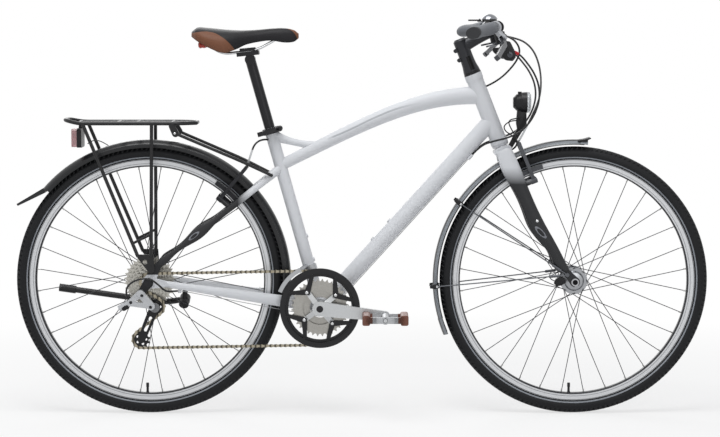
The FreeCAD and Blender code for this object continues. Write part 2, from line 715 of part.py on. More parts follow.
def saddle_section(ahead, half_width, top, low):
    height = top - low
    edge = saddle_point(ahead, 0.92 * half_width, low)
    bulge = saddle_point(ahead, half_width, low + 0.45 * height)
    shoulder = saddle_point(ahead, 0.78 * half_width, low + 0.82 * height)
    crown = saddle_point(ahead, 0, top)
    flip = [vec(point.x, -point.y, point.z) for point in (edge, bulge, shoulder)]
    return Part.Wire([
        Part.LineSegment(flip[0], edge).toShape(),
        Part.Arc(edge, bulge, shoulder).toShape(),
        Part.Arc(shoulder, crown, flip[2]).toShape(),
        Part.Arc(flip[2], flip[1], flip[0]).toShape(),
    ])


saddle = Part.makeLoft([saddle_section(*section) for section in SADDLE_SECTIONS], True, False)
hollow = Part.makeLoft([
    saddle_section(ahead, half_width - SADDLE_SHELL, top - SADDLE_PAD, low - 2 * SADDLE_PAD)
    for ahead, half_width, top, low in SADDLE_SECTIONS[1:-1]
], True, False)
saddle = saddle.cut(hollow)
for rail in rails:
    saddle = saddle.cut(rail)
keep("saddle", [max(saddle.Solids, key=lambda solid: solid.Volume)])

# Fork: steerer, crown, blades with brake studs, and the slotted ends
CROWN_MIDDLE = HEAD_BOTTOM - STEER_UP * (HEADSET_HEIGHT + CROWN_DEPTH / 2)
BLADE_FROM_CROWN = ((19.8, 0.3, 34.0, 21.0, 12.0), (44.0, 1.6, 43.0, 23.0, 12.5),
                    (113.0, 5.5, 47.5, 20.5, 12.5))
BLADE_FROM_AXLE = (
    (214.5, -40.3, 50.0, 18.5, 12.0), (162.0, -37.3, 51.0, 20.5, 11.8),
    (126.0, -28.7, 52.0, 17.0, 10.5), (80.0, -20.5, 52.8, 14.5, 9.0), (36.0, -12.5, 53.5, 11.5, 7.2),
)
FORK_TIP_RADIUS = 13.0
FENDER_EYELET = FRONT_AXLE + vec(-21, 0, 20)
FENDER_EYELET_FACE = FORK_TIP_OUTER_Y + 8


def steer_point(below, ahead, y=0.0):
    return at_y(HEAD_BOTTOM - STEER_UP * below + STEER_FORWARD * ahead, y)


def axle_point(above, ahead, y=0.0):
    return steer_point(FORK_LENGTH - above, FORK_OFFSET + ahead, y)


front_brake = brake_place(FRONT_AXLE, FRONT_BRAKE_ANGLE, -1)
blade_stations = [
    (steer_point(below, ahead, y), half_height, half_width)
    for below, ahead, y, half_height, half_width in BLADE_FROM_CROWN
] + [
    (axle_point(above, ahead, y), half_height, half_width)
    for above, ahead, y, half_height, half_width in BLADE_FROM_AXLE
]
blade_end = at_y(blade_stations[-1][0], 0)
tip_slot_half = FRONT_AXLE_RADIUS + SEAT_GAP
fork_tip = join([
    link_y(FRONT_AXLE, FORK_TIP_RADIUS, blade_end, 8.5, FRONT_HUB_HALF, FORK_TIP_OUTER_Y),
    rod_y(FENDER_EYELET, FRONT_HUB_HALF, FENDER_EYELET_FACE, 5.5),
])
tip_slot = link_y(FRONT_AXLE, tip_slot_half, FRONT_AXLE - STEER_UP * 20, tip_slot_half, FRONT_HUB_HALF,
                  FORK_TIP_OUTER_Y)
left_blade = join([oval_loft(blade_stations), fork_tip, brake_stud(front_brake)]).cut(tip_slot)
crown_oval = Part.Ellipse(
    at_y(CROWN_MIDDLE + STEER_FORWARD * CROWN_HALF_LENGTH, -CROWN_HALF_WIDTH),
    at_y(CROWN_MIDDLE + STEER_UP * (CROWN_DEPTH / 2), -CROWN_HALF_WIDTH),
    at_y(CROWN_MIDDLE, -CROWN_HALF_WIDTH),
)
crown = Part.Face(Part.Wire([crown_oval.toShape()])).extrude(SIDEWAYS * (2 * CROWN_HALF_WIDTH))
steerer_top = HEAD_TOP + STEER_UP * (STEM_COLUMN_TOP - 6)
fork = join([rod(CROWN_MIDDLE, steerer_top, STEERER_RADIUS), crown, left_blade, mirrored(left_blade)])
keep("fork", [fork])

# Stem on the steerer, handlebar, grips
STEM_FOOT = HEADSET_HEIGHT
STEM_CLAMP_RADIUS = 19.0
STEM_CLAMP_HALF = 23.0
stem_column = turned_on([
    (STEERER_RADIUS, STEM_FOOT), (STEM_COLUMN_RADIUS + 4, STEM_FOOT),
    (STEM_COLUMN_RADIUS + 1, STEM_FOOT + 16),
    (STEM_COLUMN_RADIUS, STEM_FOOT + 30), (STEM_COLUMN_RADIUS, STEM_COLUMN_TOP - 5),
    (STEM_COLUMN_RADIUS - 5, STEM_COLUMN_TOP), (0, STEM_COLUMN_TOP), (0, STEM_COLUMN_TOP - 6),
    (STEERER_RADIUS, STEM_COLUMN_TOP - 6),
], HEAD_TOP, STEER_UP)
stem_root = HEAD_TOP + STEER_UP * (STEM_COLUMN_TOP - 22)
stem_arm = oval_loft([
    (stem_root, 18.0, 16.0), (between(stem_root, BAR_CENTRE, 0.5), 15.0, 14.0), (BAR_CENTRE, 16.0, 14.5),
])
bar_space = rod_y(BAR_CENTRE, -STEM_CLAMP_HALF, STEM_CLAMP_HALF, BAR_CLAMP_RADIUS)
steerer_space = rod(HEAD_TOP, steerer_top, STEERER_RADIUS)
STEM_BOLT_RISES = (46.0, 72.0)
STEM_BOLT_BACK = 20.0
STEM_BOLT_RADIUS = 5.5
stem_bolts = [
    rod_y(HEAD_TOP + STEER_UP * rise - STEER_FORWARD * STEM_BOLT_BACK, -11, 11, STEM_BOLT_RADIUS)
    for rise in STEM_BOLT_RISES
]
stem_clamp = rod_y(BAR_CENTRE, -STEM_CLAMP_HALF, STEM_CLAMP_HALF, STEM_CLAMP_RADIUS)
stem = join([stem_column, stem_arm, stem_clamp] + stem_bolts)
keep("stem", [stem.cut(bar_space).cut(steerer_space)])

BAR_STRAIGHT_Y = 48.0
bar_bend = BAR_CENTRE + vec(BAR_BEND_AHEAD, BAR_BEND_Y, BAR_BEND_RISE)
bar_end = BAR_CENTRE + vec(-BAR_END_BACK, BAR_HALF_WIDTH, BAR_END_RISE)
bar_half = [bar_end, bar_bend, BAR_CENTRE + SIDEWAYS * BAR_STRAIGHT_Y]


def flipped(point):
    return vec(point.x, -point.y, point.z)


bar_route = bar_half + [flipped(point) for point in reversed(bar_half)]
bend_arc = rounded_path(bar_route).Edges[1]
handlebar = bent_rod(bar_route, BAR_RADIUS).fuse(rod_y(BAR_CENTRE, -40, 40, BAR_CLAMP_RADIUS))
keep("handlebar", [handlebar])

grip_out = unit(bar_end - bar_bend)
grip_cap = bar_end + grip_out * 3
GRIP_STATIONS = (
    (1.00, 0.0, 15.4, 16.4), (0.94, 0.0, 16.0, 17.0), (0.60, 0.0, 15.6, 16.6),
    (0.30, -1.5, 15.4, 17.5), (0.08, -3.0, 16.0, 20.5), (0.00, -3.0, 14.6, 19.0),
)
left_grip = oval_loft([
    (grip_cap - grip_out * (GRIP_LENGTH * share) + vec(back, 0, 0), half_height, half_width)
    for share, back, half_height, half_width in GRIP_STATIONS
])
left_grip = left_grip.cut(rod(bar_end - grip_out * (GRIP_LENGTH + 5), bar_end, BAR_RADIUS))
keep("grips", [left_grip, mirrored(left_grip)])

# Brake brackets with shifter pods on the bar, and the levers that pivot on them
LEVER_LEAN = 50.0
BRACKET_FROM_END = 152.0
RING_RADIUS = 16.0
RING_HALF = 7.0
LEVER_PIVOT_REACH = 34.0
LEVER_PIN_RADIUS = 2.5
LEVER_HALF = 4.0
LEVER_KNEE = (22.0, 20.0)
LEVER_TIP = (122.0, 46.0)
lean = math.radians(LEVER_LEAN)
reach_way = vec(math.cos(lean), 0, -math.sin(lean))
reach_way = unit(reach_way - grip_out * reach_way.dot(grip_out))
lever_axis = unit(grip_out.cross(reach_way))
bracket_seat = bar_end - grip_out * BRACKET_FROM_END
lever_pivot = bracket_seat + reach_way * LEVER_PIVOT_REACH


def bar_ring(seat, along):
    return rod(seat - along * RING_HALF, seat + along * RING_HALF, RING_RADIUS)


def along_lever(out, reach):
    return lever_pivot + grip_out * out + reach_way * reach


lever_slot = rod(lever_pivot - lever_axis * (LEVER_HALF + SEAT_GAP),
                 lever_pivot + lever_axis * (LEVER_HALF + SEAT_GAP), 10.5)
bracket = join([
    bar_ring(bracket_seat, grip_out),
    rod(bracket_seat + reach_way * (RING_RADIUS - 2), lever_pivot, 8.5),
    rod(lever_pivot - lever_axis * 8, lever_pivot + lever_axis * 8, 8.5),
    rod(lever_pivot - grip_out * 26 - reach_way * 4, lever_pivot - grip_out * 6 - reach_way * 8, 5),
])
bracket = bracket.cut(lever_slot).cut(handlebar)
bracket = bracket.fuse(rod(lever_pivot - lever_axis * 9, lever_pivot + lever_axis * 9, LEVER_PIN_RADIUS))

POD_LEAN = 0.25
POD_RADIUS = 14.0
POD_TOP = 14.0
POD_BOTTOM = 40.0
POD_PIN_RADIUS = 3.0
SHIFT_LEVER_THICK = 4.0
SHIFT_LEVER_REACH = 36.0
bend_middle = (bend_arc.FirstParameter + bend_arc.LastParameter) / 2
pod_seat = bend_arc.valueAt(bend_middle)
pod_out = bend_arc.tangentAt(bend_middle) * -1
pod_down = unit(vec(POD_LEAN, 0, -1))
pod_down = unit(pod_down - pod_out * pod_down.dot(pod_out))
pod_back = unit(pod_out.cross(pod_down))
pod_floor = pod_seat + pod_down * POD_BOTTOM
pod = join([
    bar_ring(pod_seat, pod_out),
    rod(pod_seat + pod_down * POD_TOP, pod_floor, POD_RADIUS),
    rod(pod_floor, pod_floor + pod_down * (SHIFT_LEVER_THICK + 2), POD_PIN_RADIUS),
])
pod = pod.cut(handlebar)
keep("lever_brackets", [bracket, mirrored(bracket), pod, mirrored(pod)])

lever = join([
    link(lever_pivot, 8.0, along_lever(*LEVER_KNEE), 6.0, lever_axis, -LEVER_HALF, LEVER_HALF),
    link(along_lever(*LEVER_KNEE), 6.0, along_lever(*LEVER_TIP), 5.5, lever_axis, -LEVER_HALF, LEVER_HALF),
    rod(along_lever(*LEVER_TIP) - lever_axis * 6, along_lever(*LEVER_TIP) + lever_axis * 6, 7.0),
])
lever_hole = rod(lever_pivot - lever_axis * 5, lever_pivot + lever_axis * 5, LEVER_PIN_RADIUS + RUNNING_GAP)
lever = lever.cut(lever_hole)
keep("left_brake_lever", [lever])
keep("right_brake_lever", [mirrored(lever)])

shift_start = SEAT_GAP
shift_tip = pod_floor + (pod_out * 0.3 + pod_back * 0.95) * SHIFT_LEVER_REACH
shift_hole = rod(pod_floor, pod_floor + pod_down * 8, POD_PIN_RADIUS + RUNNING_GAP)
shift_lever = link(pod_floor, 8.0, shift_tip, 6.0, pod_down, shift_start,
                   shift_start + SHIFT_LEVER_THICK).cut(shift_hole)
keep("left_shift_lever", [shift_lever])
keep("right_shift_lever", [mirrored(shift_lever)])

# Bell on the right of the bar, with its thumb lever
BELL_Y = -100.0
BELL_RADIUS = 21.0
BELL_BACK = 20.0
BELL_FLOOR = 17.0
BELL_BASE = 5.0
BELL_DOME = 13.0
BELL_WALL = 1.4
BELL_PIN_RADIUS = 2.0
bell_share = (abs(BELL_Y) - BAR_STRAIGHT_Y) / (BAR_BEND_Y - BAR_STRAIGHT_Y)
bell_seat = flipped(between(bar_half[2], bar_bend, bell_share))
bell_along = unit(flipped(bar_bend) - flipped(bar_half[2]))
bell_foot = bell_seat + vec(-BELL_BACK, 0, BELL_FLOOR)
bell_base = join([
    rod(bell_seat - bell_along * 6, bell_seat + bell_along * 6, 15.0),
    rod(bell_foot, bell_foot + UP * BELL_BASE, BELL_RADIUS - 2),
    rod(bell_foot - UP * 8, bell_foot, 8.0),
]).cut(handlebar)
bell_pivot = bell_foot + vec(-BELL_RADIUS - 4, 6, 0)
bell_base = join([
    bell_base,
    link(bell_foot, 10.0, bell_pivot, 6.0, UP, -2.0, 0.0).cut(handlebar),
    rod(bell_pivot, bell_pivot + UP * 6, BELL_PIN_RADIUS),
])
dome_floor = bell_foot + UP * (BELL_BASE + SEAT_GAP)


def dome_face(radius, height):
    """Half of a spherical cap, to spin about its upright."""
    sphere = (radius ** 2 + height ** 2) / (2 * height)
    half_turn = math.asin(radius / sphere) / 2
    rim = dome_floor + vec(radius, 0, 0)
    crest = dome_floor + UP * height
    middle = crest + vec(sphere * math.sin(half_turn), 0, sphere * (math.cos(half_turn) - 1))
    edges = [
        Part.LineSegment(dome_floor, rim).toShape(), Part.Arc(rim, middle, crest).toShape(),
        Part.LineSegment(crest, dome_floor).toShape(),
    ]
    return Part.Face(Part.Wire(edges))


bell_hollow = spun(dome_face(BELL_RADIUS - BELL_WALL, BELL_DOME - BELL_WALL), dome_floor, UP)
bell_dome = spun(dome_face(BELL_RADIUS, BELL_DOME), dome_floor, UP).cut(bell_hollow)
bell_dome = bell_dome.fuse(rod(dome_floor, dome_floor + UP * (BELL_DOME - 1), 3.0))
keep("bell", [bell_base, bell_dome])
bell_tip = bell_pivot + vec(-26, -6, 0)
bell_lever = link(bell_pivot, 4.5, bell_tip, 3.5, UP, SEAT_GAP, 4.0)
keep("bell_lever", [bell_lever.cut(rod(bell_pivot, bell_pivot + UP * 6, BELL_PIN_RADIUS + RUNNING_GAP))])

# Headlight on a stalk from the fork crown
LAMP_MIDDLE = HEAD_BOTTOM + vec(35, 0, 106)
LAMP_DEPTH = 36.0
LENS_STAND = 11.0
STALK_HALF = 10.0
STALK_THICK = 12.0
LAMP_WALL = 3.0
FORWARD = vec(1, 0, 0)
lamp_housing = turned_on([
    (0, 0), (13, 0), (21, 8), (LAMP_RADIUS - 1, 22), (LAMP_RADIUS, LAMP_DEPTH),
    (LAMP_RADIUS - LAMP_WALL, LAMP_DEPTH),
    (LAMP_RADIUS - LAMP_WALL, LAMP_DEPTH - 8), (0, LAMP_DEPTH - 26),
], LAMP_MIDDLE, FORWARD)
stalk_top = LAMP_MIDDLE + vec(22, 0, -LAMP_RADIUS - 6)
stalk_knee = LAMP_MIDDLE + vec(20, 0, -66)
stalk_foot = CROWN_MIDDLE + STEER_FORWARD * 22
stalk_side = STALK_THICK / 2
lamp_stalk = join([
    link_y(stalk_top, STALK_HALF, stalk_knee, STALK_HALF, -stalk_side, stalk_side),
    link_y(stalk_knee, STALK_HALF - 2, stalk_foot, 6.0, 1 - stalk_side, stalk_side - 1),
])
lamp_button = rod(LAMP_MIDDLE + vec(17, 0, LAMP_RADIUS - 8), LAMP_MIDDLE + vec(17, 0, LAMP_RADIUS + 1), 5.0)
headlight = join([lamp_housing, lamp_stalk, lamp_button]).cut(fork)
headlight = headlight.cut(rod(LAMP_MIDDLE + vec(LAMP_DEPTH - 26, 0, 0),
                              LAMP_MIDDLE + vec(LAMP_DEPTH, 0, 0), 8))
keep("headlight", [max(headlight.Solids, key=lambda solid: solid.Volume)])
lens_radius = LAMP_RADIUS - LAMP_WALL
lamp_lens = turned_on([
    (0, LAMP_DEPTH - 7), (lens_radius, LAMP_DEPTH - 7), (lens_radius, LAMP_DEPTH + SEAT_GAP),
    (LAMP_RADIUS, LAMP_DEPTH + SEAT_GAP), (LAMP_RADIUS, LAMP_DEPTH + LENS_STAND - 5),
    (LAMP_RADIUS - 7, LAMP_DEPTH + LENS_STAND - 1), (0, LAMP_DEPTH + LENS_STAND),
], LAMP_MIDDLE, FORWARD)
keep("headlight_lens", [lamp_lens])


# Fenders: arched shells about each axle
def fender_face(axle, angle, radius, half_width):
    def arc(crown, edge_y, edge):
        return Part.Arc(polar(axle, edge, angle, -edge_y), polar(axle, crown, angle, 0),
                        polar(axle, edge, angle, edge_y))

    inner_y = half_width - FENDER_WALL
    edge = radius - FENDER_DROP
    edges = [
        arc(radius, half_width, edge).toShape(),
        Part.LineSegment(polar(axle, edge, angle, half_width), polar(axle, edge, angle, inner_y)).toShape(),
        arc(radius - FENDER_WALL, inner_y, edge).toShape(),
        Part.LineSegment(polar(axle, edge, angle, -inner_y),
                         polar(axle, edge, angle, -half_width)).toShape(),
    ]
    return Part.Face(Part.Wire(Part.__sortEdges__(edges)))


def fender_shell(axle, start, sweep, radius, half_width):
    return spun(fender_face(axle, start, radius, half_width), axle, vec(0, -1, 0), sweep)


FRONT_FENDER_START = 86.0
FRONT_FENDER_SWEEP = 110.0
FRONT_CLAMP_ANGLES = (145.8, 182.4)
FENDER_CLAMP_HALF = 3.5
FENDER_CLAMP_Y = FENDER_HALF_WIDTH + 5.0
bolt_way = CROWN_MIDDLE - FRONT_AXLE
FENDER_BOLT_ANGLE = math.degrees(math.atan2(bolt_way.z, bolt_way.x))
front_end = FRONT_FENDER_START + FRONT_FENDER_SWEEP
front_fender = join([
    fender_shell(FRONT_AXLE, FRONT_FENDER_START, FRONT_FENDER_SWEEP, FENDER_RADIUS, FENDER_HALF_WIDTH),
    fender_shell(FRONT_AXLE, FRONT_FENDER_START - 1.5, 3.0, FENDER_RADIUS + 1.6, FENDER_HALF_WIDTH + 0.8),
])


def fender_clamp(axle, angle, side):
    middle = polar(axle, FENDER_RADIUS - FENDER_DROP + 3, angle, side * (FENDER_HALF_WIDTH - 1))
    return rod(middle, at_y(middle, side * FENDER_CLAMP_Y), FENDER_CLAMP_HALF + 1.5)


clamps = [fender_clamp(FRONT_AXLE, angle, side) for angle in FRONT_CLAMP_ANGLES for side in (-1, 1)]
fender_bolt = rod(polar(FRONT_AXLE, FENDER_RADIUS - 1, FENDER_BOLT_ANGLE), CROWN_MIDDLE, 6.0).cut(fork)
fender_bolt = min(fender_bolt.Solids, key=lambda solid: (solid.CenterOfMass - FRONT_AXLE).Length)
front_flap = fender_shell(FRONT_AXLE, front_end + 0.05, 7.0, FENDER_RADIUS + 1.0, FENDER_HALF_WIDTH + 4.0)
keep("front_fender", [join([front_fender, fender_bolt] + clamps), front_flap])


STAY_STAND = 0.9


def fender_stay(axle, eyelet, angle, side, y):
    low = at_y(eyelet, side * y)
    high = at_y(polar(axle, FENDER_RADIUS - FENDER_DROP + 3, angle),
                side * (FENDER_CLAMP_Y + STAY_WIRE_RADIUS))
    clip = between(low, high, 0.14)
    return join([
        rod(low, high, STAY_WIRE_RADIUS),
        rod_y(low, side * (y - STAY_WIRE_RADIUS - STAY_STAND), side * (y + STAY_WIRE_RADIUS), 5.0),
        rod(between(low, high, 0.06), clip, STAY_WIRE_RADIUS + 2),
    ])


stay_step = 2 * STAY_WIRE_RADIUS + STAY_STAND + SEAT_GAP
first_stay_y = FENDER_EYELET_FACE + stay_step - STAY_WIRE_RADIUS
stays = [
    fender_stay(FRONT_AXLE, FENDER_EYELET, angle, side, first_stay_y + index * stay_step)
    for index, angle in enumerate(FRONT_CLAMP_ANGLES) for side in (-1, 1)
]
keep("front_fender_stays", stays)

REAR_FENDER_START = -7.0
REAR_FENDER_SWEEP = 146.0
REAR_FENDER_BOLT_ANGLE = math.degrees(math.atan2(stay_bridge.z - REAR_AXLE.z, stay_bridge.x - REAR_AXLE.x))
rear_end = REAR_FENDER_START + REAR_FENDER_SWEEP
rear_fender = fender_shell(REAR_AXLE, REAR_FENDER_START, REAR_FENDER_SWEEP, FENDER_RADIUS,
                           FENDER_HALF_WIDTH)
rear_bolt = rod(polar(REAR_AXLE, FENDER_RADIUS - 1, REAR_FENDER_BOLT_ANGLE), stay_bridge,
                5.0).cut(seatstays)
rear_bolt = min(rear_bolt.Solids, key=lambda solid: (solid.CenterOfMass - REAR_AXLE).Length)
flap_root = polar(REAR_AXLE, FENDER_RADIUS, rear_end + 0.05)
FLAP_REACH = 32.0
FLAP_TIP_ANGLE = 149.85
flap_tip = polar(REAR_AXLE, FENDER_RADIUS + FLAP_REACH, FLAP_TIP_ANGLE)
flap_along = unit(flap_tip - flap_root)
flap_under = vec(-flap_along.z, 0, flap_along.x)
FLAP_THICK = 6.0
flap_corners = [flap_root, flap_tip, flap_tip + flap_under * FLAP_THICK,
                flap_root + flap_under * FENDER_DROP]
rear_flap = prism([at_y(corner, -FENDER_HALF_WIDTH) for corner in flap_corners],
                  SIDEWAYS * (2 * FENDER_HALF_WIDTH))
keep("rear_fender", [rear_fender.fuse(rear_bolt), rear_flap.cut(rear_fender)])

# Rear rack: a tube loop on two legs a side, with plates down to the dropouts and struts to the seatstays
RACK_Z = REAR_AXLE.z + RACK_DECK_RISE
RACK_UPTURN = 8.0
RACK_PLATE_THICK = 4.0
RACK_PLATE_Y = DROPOUT_OUTER_Y + SEAT_GAP
RACK_CROSS_X = (-60.0, 30.0, 80.0, 182.0)
RACK_LEG_TOPS = (10.0, -168.0)
RACK_BAR_RADIUS = 4.0
RACK_LEG_RADIUS = 4.6


def rack_point(ahead, y, rise=0.0):
    return vec(REAR_AXLE.x + ahead, y, RACK_Z + rise)


rack_half = [
    rack_point(-RACK_REAR_REACH, RACK_HALF_WIDTH - 18, RACK_UPTURN),
    rack_point(-RACK_REAR_REACH + 36, RACK_HALF_WIDTH),
    rack_point(RACK_FRONT_REACH - 40, RACK_HALF_WIDTH),
    rack_point(RACK_FRONT_REACH, RACK_HALF_WIDTH - 32),
]
rack_loop = [point for point in reversed(rack_half)] + [flipped(point) for point in rack_half]
rack_front = rod(flipped(rack_half[-1]), rack_half[-1], RACK_TUBE_RADIUS)
rack_shapes = [bent_rod(rack_loop, RACK_TUBE_RADIUS), rack_front]
for back in RACK_CROSS_X:
    half = RACK_HALF_WIDTH
    rack_shapes.append(rod(rack_point(-back, -half), rack_point(-back, half), RACK_BAR_RADIUS))
for y in (-20.0, 20.0):
    rack_shapes.append(rod(rack_point(-182, y), rack_point(RACK_FRONT_REACH, y), RACK_BAR_RADIUS))
PLATE_RISE = 74.0
BRACE_SHARES = (0.17, 0.10)
BRACE_RADIUS = 3.4
CLAMP_AHEAD = 62.0
CLAMP_HALF = 5.6
STRUT_LEAD = vec(-78, 0, 38)
plate_top = [REAR_AXLE + vec(-34, 0, PLATE_RISE), REAR_AXLE + vec(14, 0, PLATE_RISE)]
for side in (-1, 1):
    plate_middle = side * (RACK_PLATE_Y + RACK_PLATE_THICK / 2)
    leg_feet = (plate_top[1] + vec(-6, 0, -6), plate_top[0] + vec(8, 0, -6))
    brace_ends = []
    for ahead, foot, share in zip(RACK_LEG_TOPS, leg_feet, BRACE_SHARES):
        leg_top = rack_point(ahead, side * RACK_HALF_WIDTH, -1)
        leg_foot = at_y(foot, plate_middle)
        rack_shapes.append(rod(leg_top, leg_foot, RACK_LEG_RADIUS))
        brace_ends.append(between(leg_foot, leg_top, share))
    rack_shapes.append(rod(brace_ends[0], brace_ends[1], BRACE_RADIUS))
    corners = plate_top + [RACK_EYELET + vec(9, 0, -2), RACK_EYELET + vec(0, 0, -9),
                           RACK_EYELET + vec(-9, 0, -2)]
    start = side * RACK_PLATE_Y
    plate = prism([at_y(corner, start) for corner in corners], SIDEWAYS * (side * RACK_PLATE_THICK))
    window = rod_y(REAR_AXLE + vec(-8, 0, PLATE_RISE - 20), start, start + side * RACK_PLATE_THICK, 6)
    rack_shapes.append(plate.cut(window))
rack = join(rack_shapes)
strut_foot = at_y(between(SEATSTAY_END, SEATSTAY_ROOT, 0.925), 0)
for side in (-1, 1):
    hook = rod_y(strut_foot, side * 12, side * 38, 4.0)
    clamp_low = rack_point(CLAMP_AHEAD + 10, side * RACK_HALF_WIDTH, -26)
    clamp_middle = side * RACK_HALF_WIDTH
    clamp_block = link_y(rack_point(CLAMP_AHEAD, 0, -6), 7.5, at_y(clamp_low, 0), 9.0,
                         clamp_middle - CLAMP_HALF, clamp_middle + CLAMP_HALF)
    strut_bar = bent_rod([
        clamp_low, at_y(strut_foot + STRUT_LEAD, side * 54), at_y(strut_foot, side * 34),
    ], RACK_BAR_RADIUS, 0.3)
    rack = rack.fuse(join([hook, strut_bar, clamp_block]).cut(seatstays).Solids)
keep("rear_rack", rack.Solids)

# Rear light under the tail of the rack
LIGHT_HALF_WIDTH = 40.0
LIGHT_HEIGHT = 50.0
LIGHT_BODY_DEPTH = 12.0
LIGHT_LENS_DEPTH = 14.0
light_top = rack_point(-182, 0, -RACK_BAR_RADIUS - 10)


def light_block(back, depth, margin):
    low = light_top + vec(-back - depth, -LIGHT_HALF_WIDTH + margin, -LIGHT_HEIGHT + margin)
    block = Part.makeBox(depth, 2 * (LIGHT_HALF_WIDTH - margin), LIGHT_HEIGHT - 2 * margin, low)
    upright = [edge for edge in block.Edges if abs(edge.tangentAt(edge.FirstParameter).x) > 0.9]
    return block.makeFillet(8.0, upright)


light_bracket = rod(light_top + vec(2, 0, -5), light_top + vec(2, 0, 12), 5.0)
light_body = light_block(-8, LIGHT_BODY_DEPTH, 0).fuse(light_bracket).cut(rack)
keep("rear_light", [max(light_body.Solids, key=lambda solid: solid.Volume)])
keep("rear_light_lens", [light_block(LIGHT_BODY_DEPTH - 8, LIGHT_LENS_DEPTH, 1.5)])


# Wheels: tyre, rim, crossed spokes and hub about each axle
def tyre(axle):
    def spot(radius, y):
        return polar(axle, radius, 0, y)

    shoulder = TYRE_RADIUS - 7
    bead_y = RIM_HALF_WIDTH - RIM_WALL - BEAD_GAP
    inner_bead = bead_y - TYRE_WALL
    bead = RIM_OUTER_RADIUS - 6
    lip = RIM_OUTER_RADIUS + 0.5
    wide = 0.5 * (RIM_OUTER_RADIUS + TYRE_RADIUS) - 1
    inner_wide = TYRE_HALF_WIDTH - TYRE_WALL
    inner_top = TYRE_RADIUS - TYRE_WALL - 1.5
    shoulder_y = 0.68 * TYRE_HALF_WIDTH
    outline = [
        Part.LineSegment(spot(bead, -bead_y), spot(lip, -bead_y)),
        Part.Arc(spot(lip, -bead_y), spot(wide, -TYRE_HALF_WIDTH), spot(shoulder, -shoulder_y)),
        Part.Arc(spot(shoulder, -shoulder_y), spot(TYRE_RADIUS, 0), spot(shoulder, shoulder_y)),
        Part.Arc(spot(shoulder, shoulder_y), spot(wide, TYRE_HALF_WIDTH), spot(lip, bead_y)),
        Part.LineSegment(spot(lip, bead_y), spot(bead, bead_y)),
        Part.LineSegment(spot(bead, bead_y), spot(bead, inner_bead)),
        Part.LineSegment(spot(bead, inner_bead), spot(lip, inner_bead)),
        Part.Arc(spot(lip, inner_bead), spot(wide, inner_wide), spot(inner_top, 0)),
        Part.Arc(spot(inner_top, 0), spot(wide, -inner_wide), spot(lip, -inner_bead)),
        Part.LineSegment(spot(lip, -inner_bead), spot(bead, -inner_bead)),
        Part.LineSegment(spot(bead, -inner_bead), spot(bead, -bead_y)),
    ]
    face = Part.Face(Part.Wire([edge.toShape() for edge in outline]))
    return spun(face, axle, vec(0, -1, 0))


def rim(axle):
    outer_y = RIM_HALF_WIDTH
    inner_y = RIM_HALF_WIDTH - RIM_WALL
    seat = RIM_OUTER_RADIUS - 7.5
    well = seat - 4
    half = [(RIM_INNER_RADIUS, 6.5), (RIM_INNER_RADIUS + 4, outer_y - 0.4), (RIM_OUTER_RADIUS, outer_y),
            (RIM_OUTER_RADIUS, inner_y), (seat, inner_y), (well, 5.0)]
    profile = half + [(radius, -y) for radius, y in reversed(half)]
    return turned(profile, axle)


def spokes(axle, flanges, hole_radius):
    """Laced spokes: sides alternate, and on each side every other spoke trails."""
    shapes = []
    spacing = 360.0 / SPOKE_COUNT
    cross_angle = SPOKE_CROSSES * 2 * spacing
    for index in range(SPOKE_COUNT):
        rim_angle = 270.0 + spacing * (index + 0.5)
        flange_y = flanges[index % 2]
        outward = 1 if flange_y > 0 else -1
        trailing = 1 if (index // 2) % 2 else -1
        beside = FLANGE_THICK / 2 + SPOKE_RADIUS
        offset = beside + SPOKE_HEAD_STAND if trailing > 0 else -beside - SEAT_GAP
        start = polar(axle, hole_radius, rim_angle + trailing * cross_angle, flange_y + outward * offset)
        end = polar(axle, RIM_INNER_RADIUS - 0.4, rim_angle)
        shapes.append(rod(start, end, SPOKE_RADIUS))
    return shapes


front_hole_radius = FRONT_FLANGE_RADIUS - FLANGE_HOLE_INSET
rear_hole_radius = REAR_FLANGE_RADIUS - FLANGE_HOLE_INSET
front_flanges = (-FRONT_FLANGE_Y, FRONT_FLANGE_Y)
rear_flanges = (REAR_FLANGE_RIGHT_Y, REAR_FLANGE_LEFT_Y)
for name, axle, flanges, hole_radius in (
    ("front", FRONT_AXLE, front_flanges, front_hole_radius),
    ("rear", REAR_AXLE, rear_flanges, rear_hole_radius),
):
    keep(name + "_tyre", [tyre(axle)])
    keep(name + "_rim", [rim(axle)])
    keep(name + "_spokes", spokes(axle, flanges, hole_radius))

HUB_CAP_Y = 43.0
FRONT_NECK_RADIUS = 13.0
half_flange = FLANGE_THICK / 2
front_bore = FRONT_AXLE_RADIUS + RUNNING_GAP
front_hub_half = [
    (FRONT_BARREL_RADIUS - 2, 0), (FRONT_BARREL_RADIUS, FRONT_FLANGE_Y - 6),
    (FRONT_BARREL_RADIUS - 3, FRONT_FLANGE_Y - half_flange - 2.3),
    (FRONT_BARREL_RADIUS - 3, FRONT_FLANGE_Y - half_flange),
    (FRONT_FLANGE_RADIUS, FRONT_FLANGE_Y - half_flange),
    (FRONT_FLANGE_RADIUS, FRONT_FLANGE_Y + half_flange),
    (FRONT_BARREL_RADIUS - 4, FRONT_FLANGE_Y + half_flange), (FRONT_BARREL_RADIUS - 8, FRONT_FLANGE_Y + 8),
    (FRONT_NECK_RADIUS, FRONT_FLANGE_Y + 10), (FRONT_NECK_RADIUS, HUB_CAP_Y), (front_bore, HUB_CAP_Y),
    (front_bore, 0),
]
front_half = turned(front_hub_half, FRONT_AXLE)
keep("front_hub", [front_half.fuse(mirrored(front_half)).removeSplitter()])

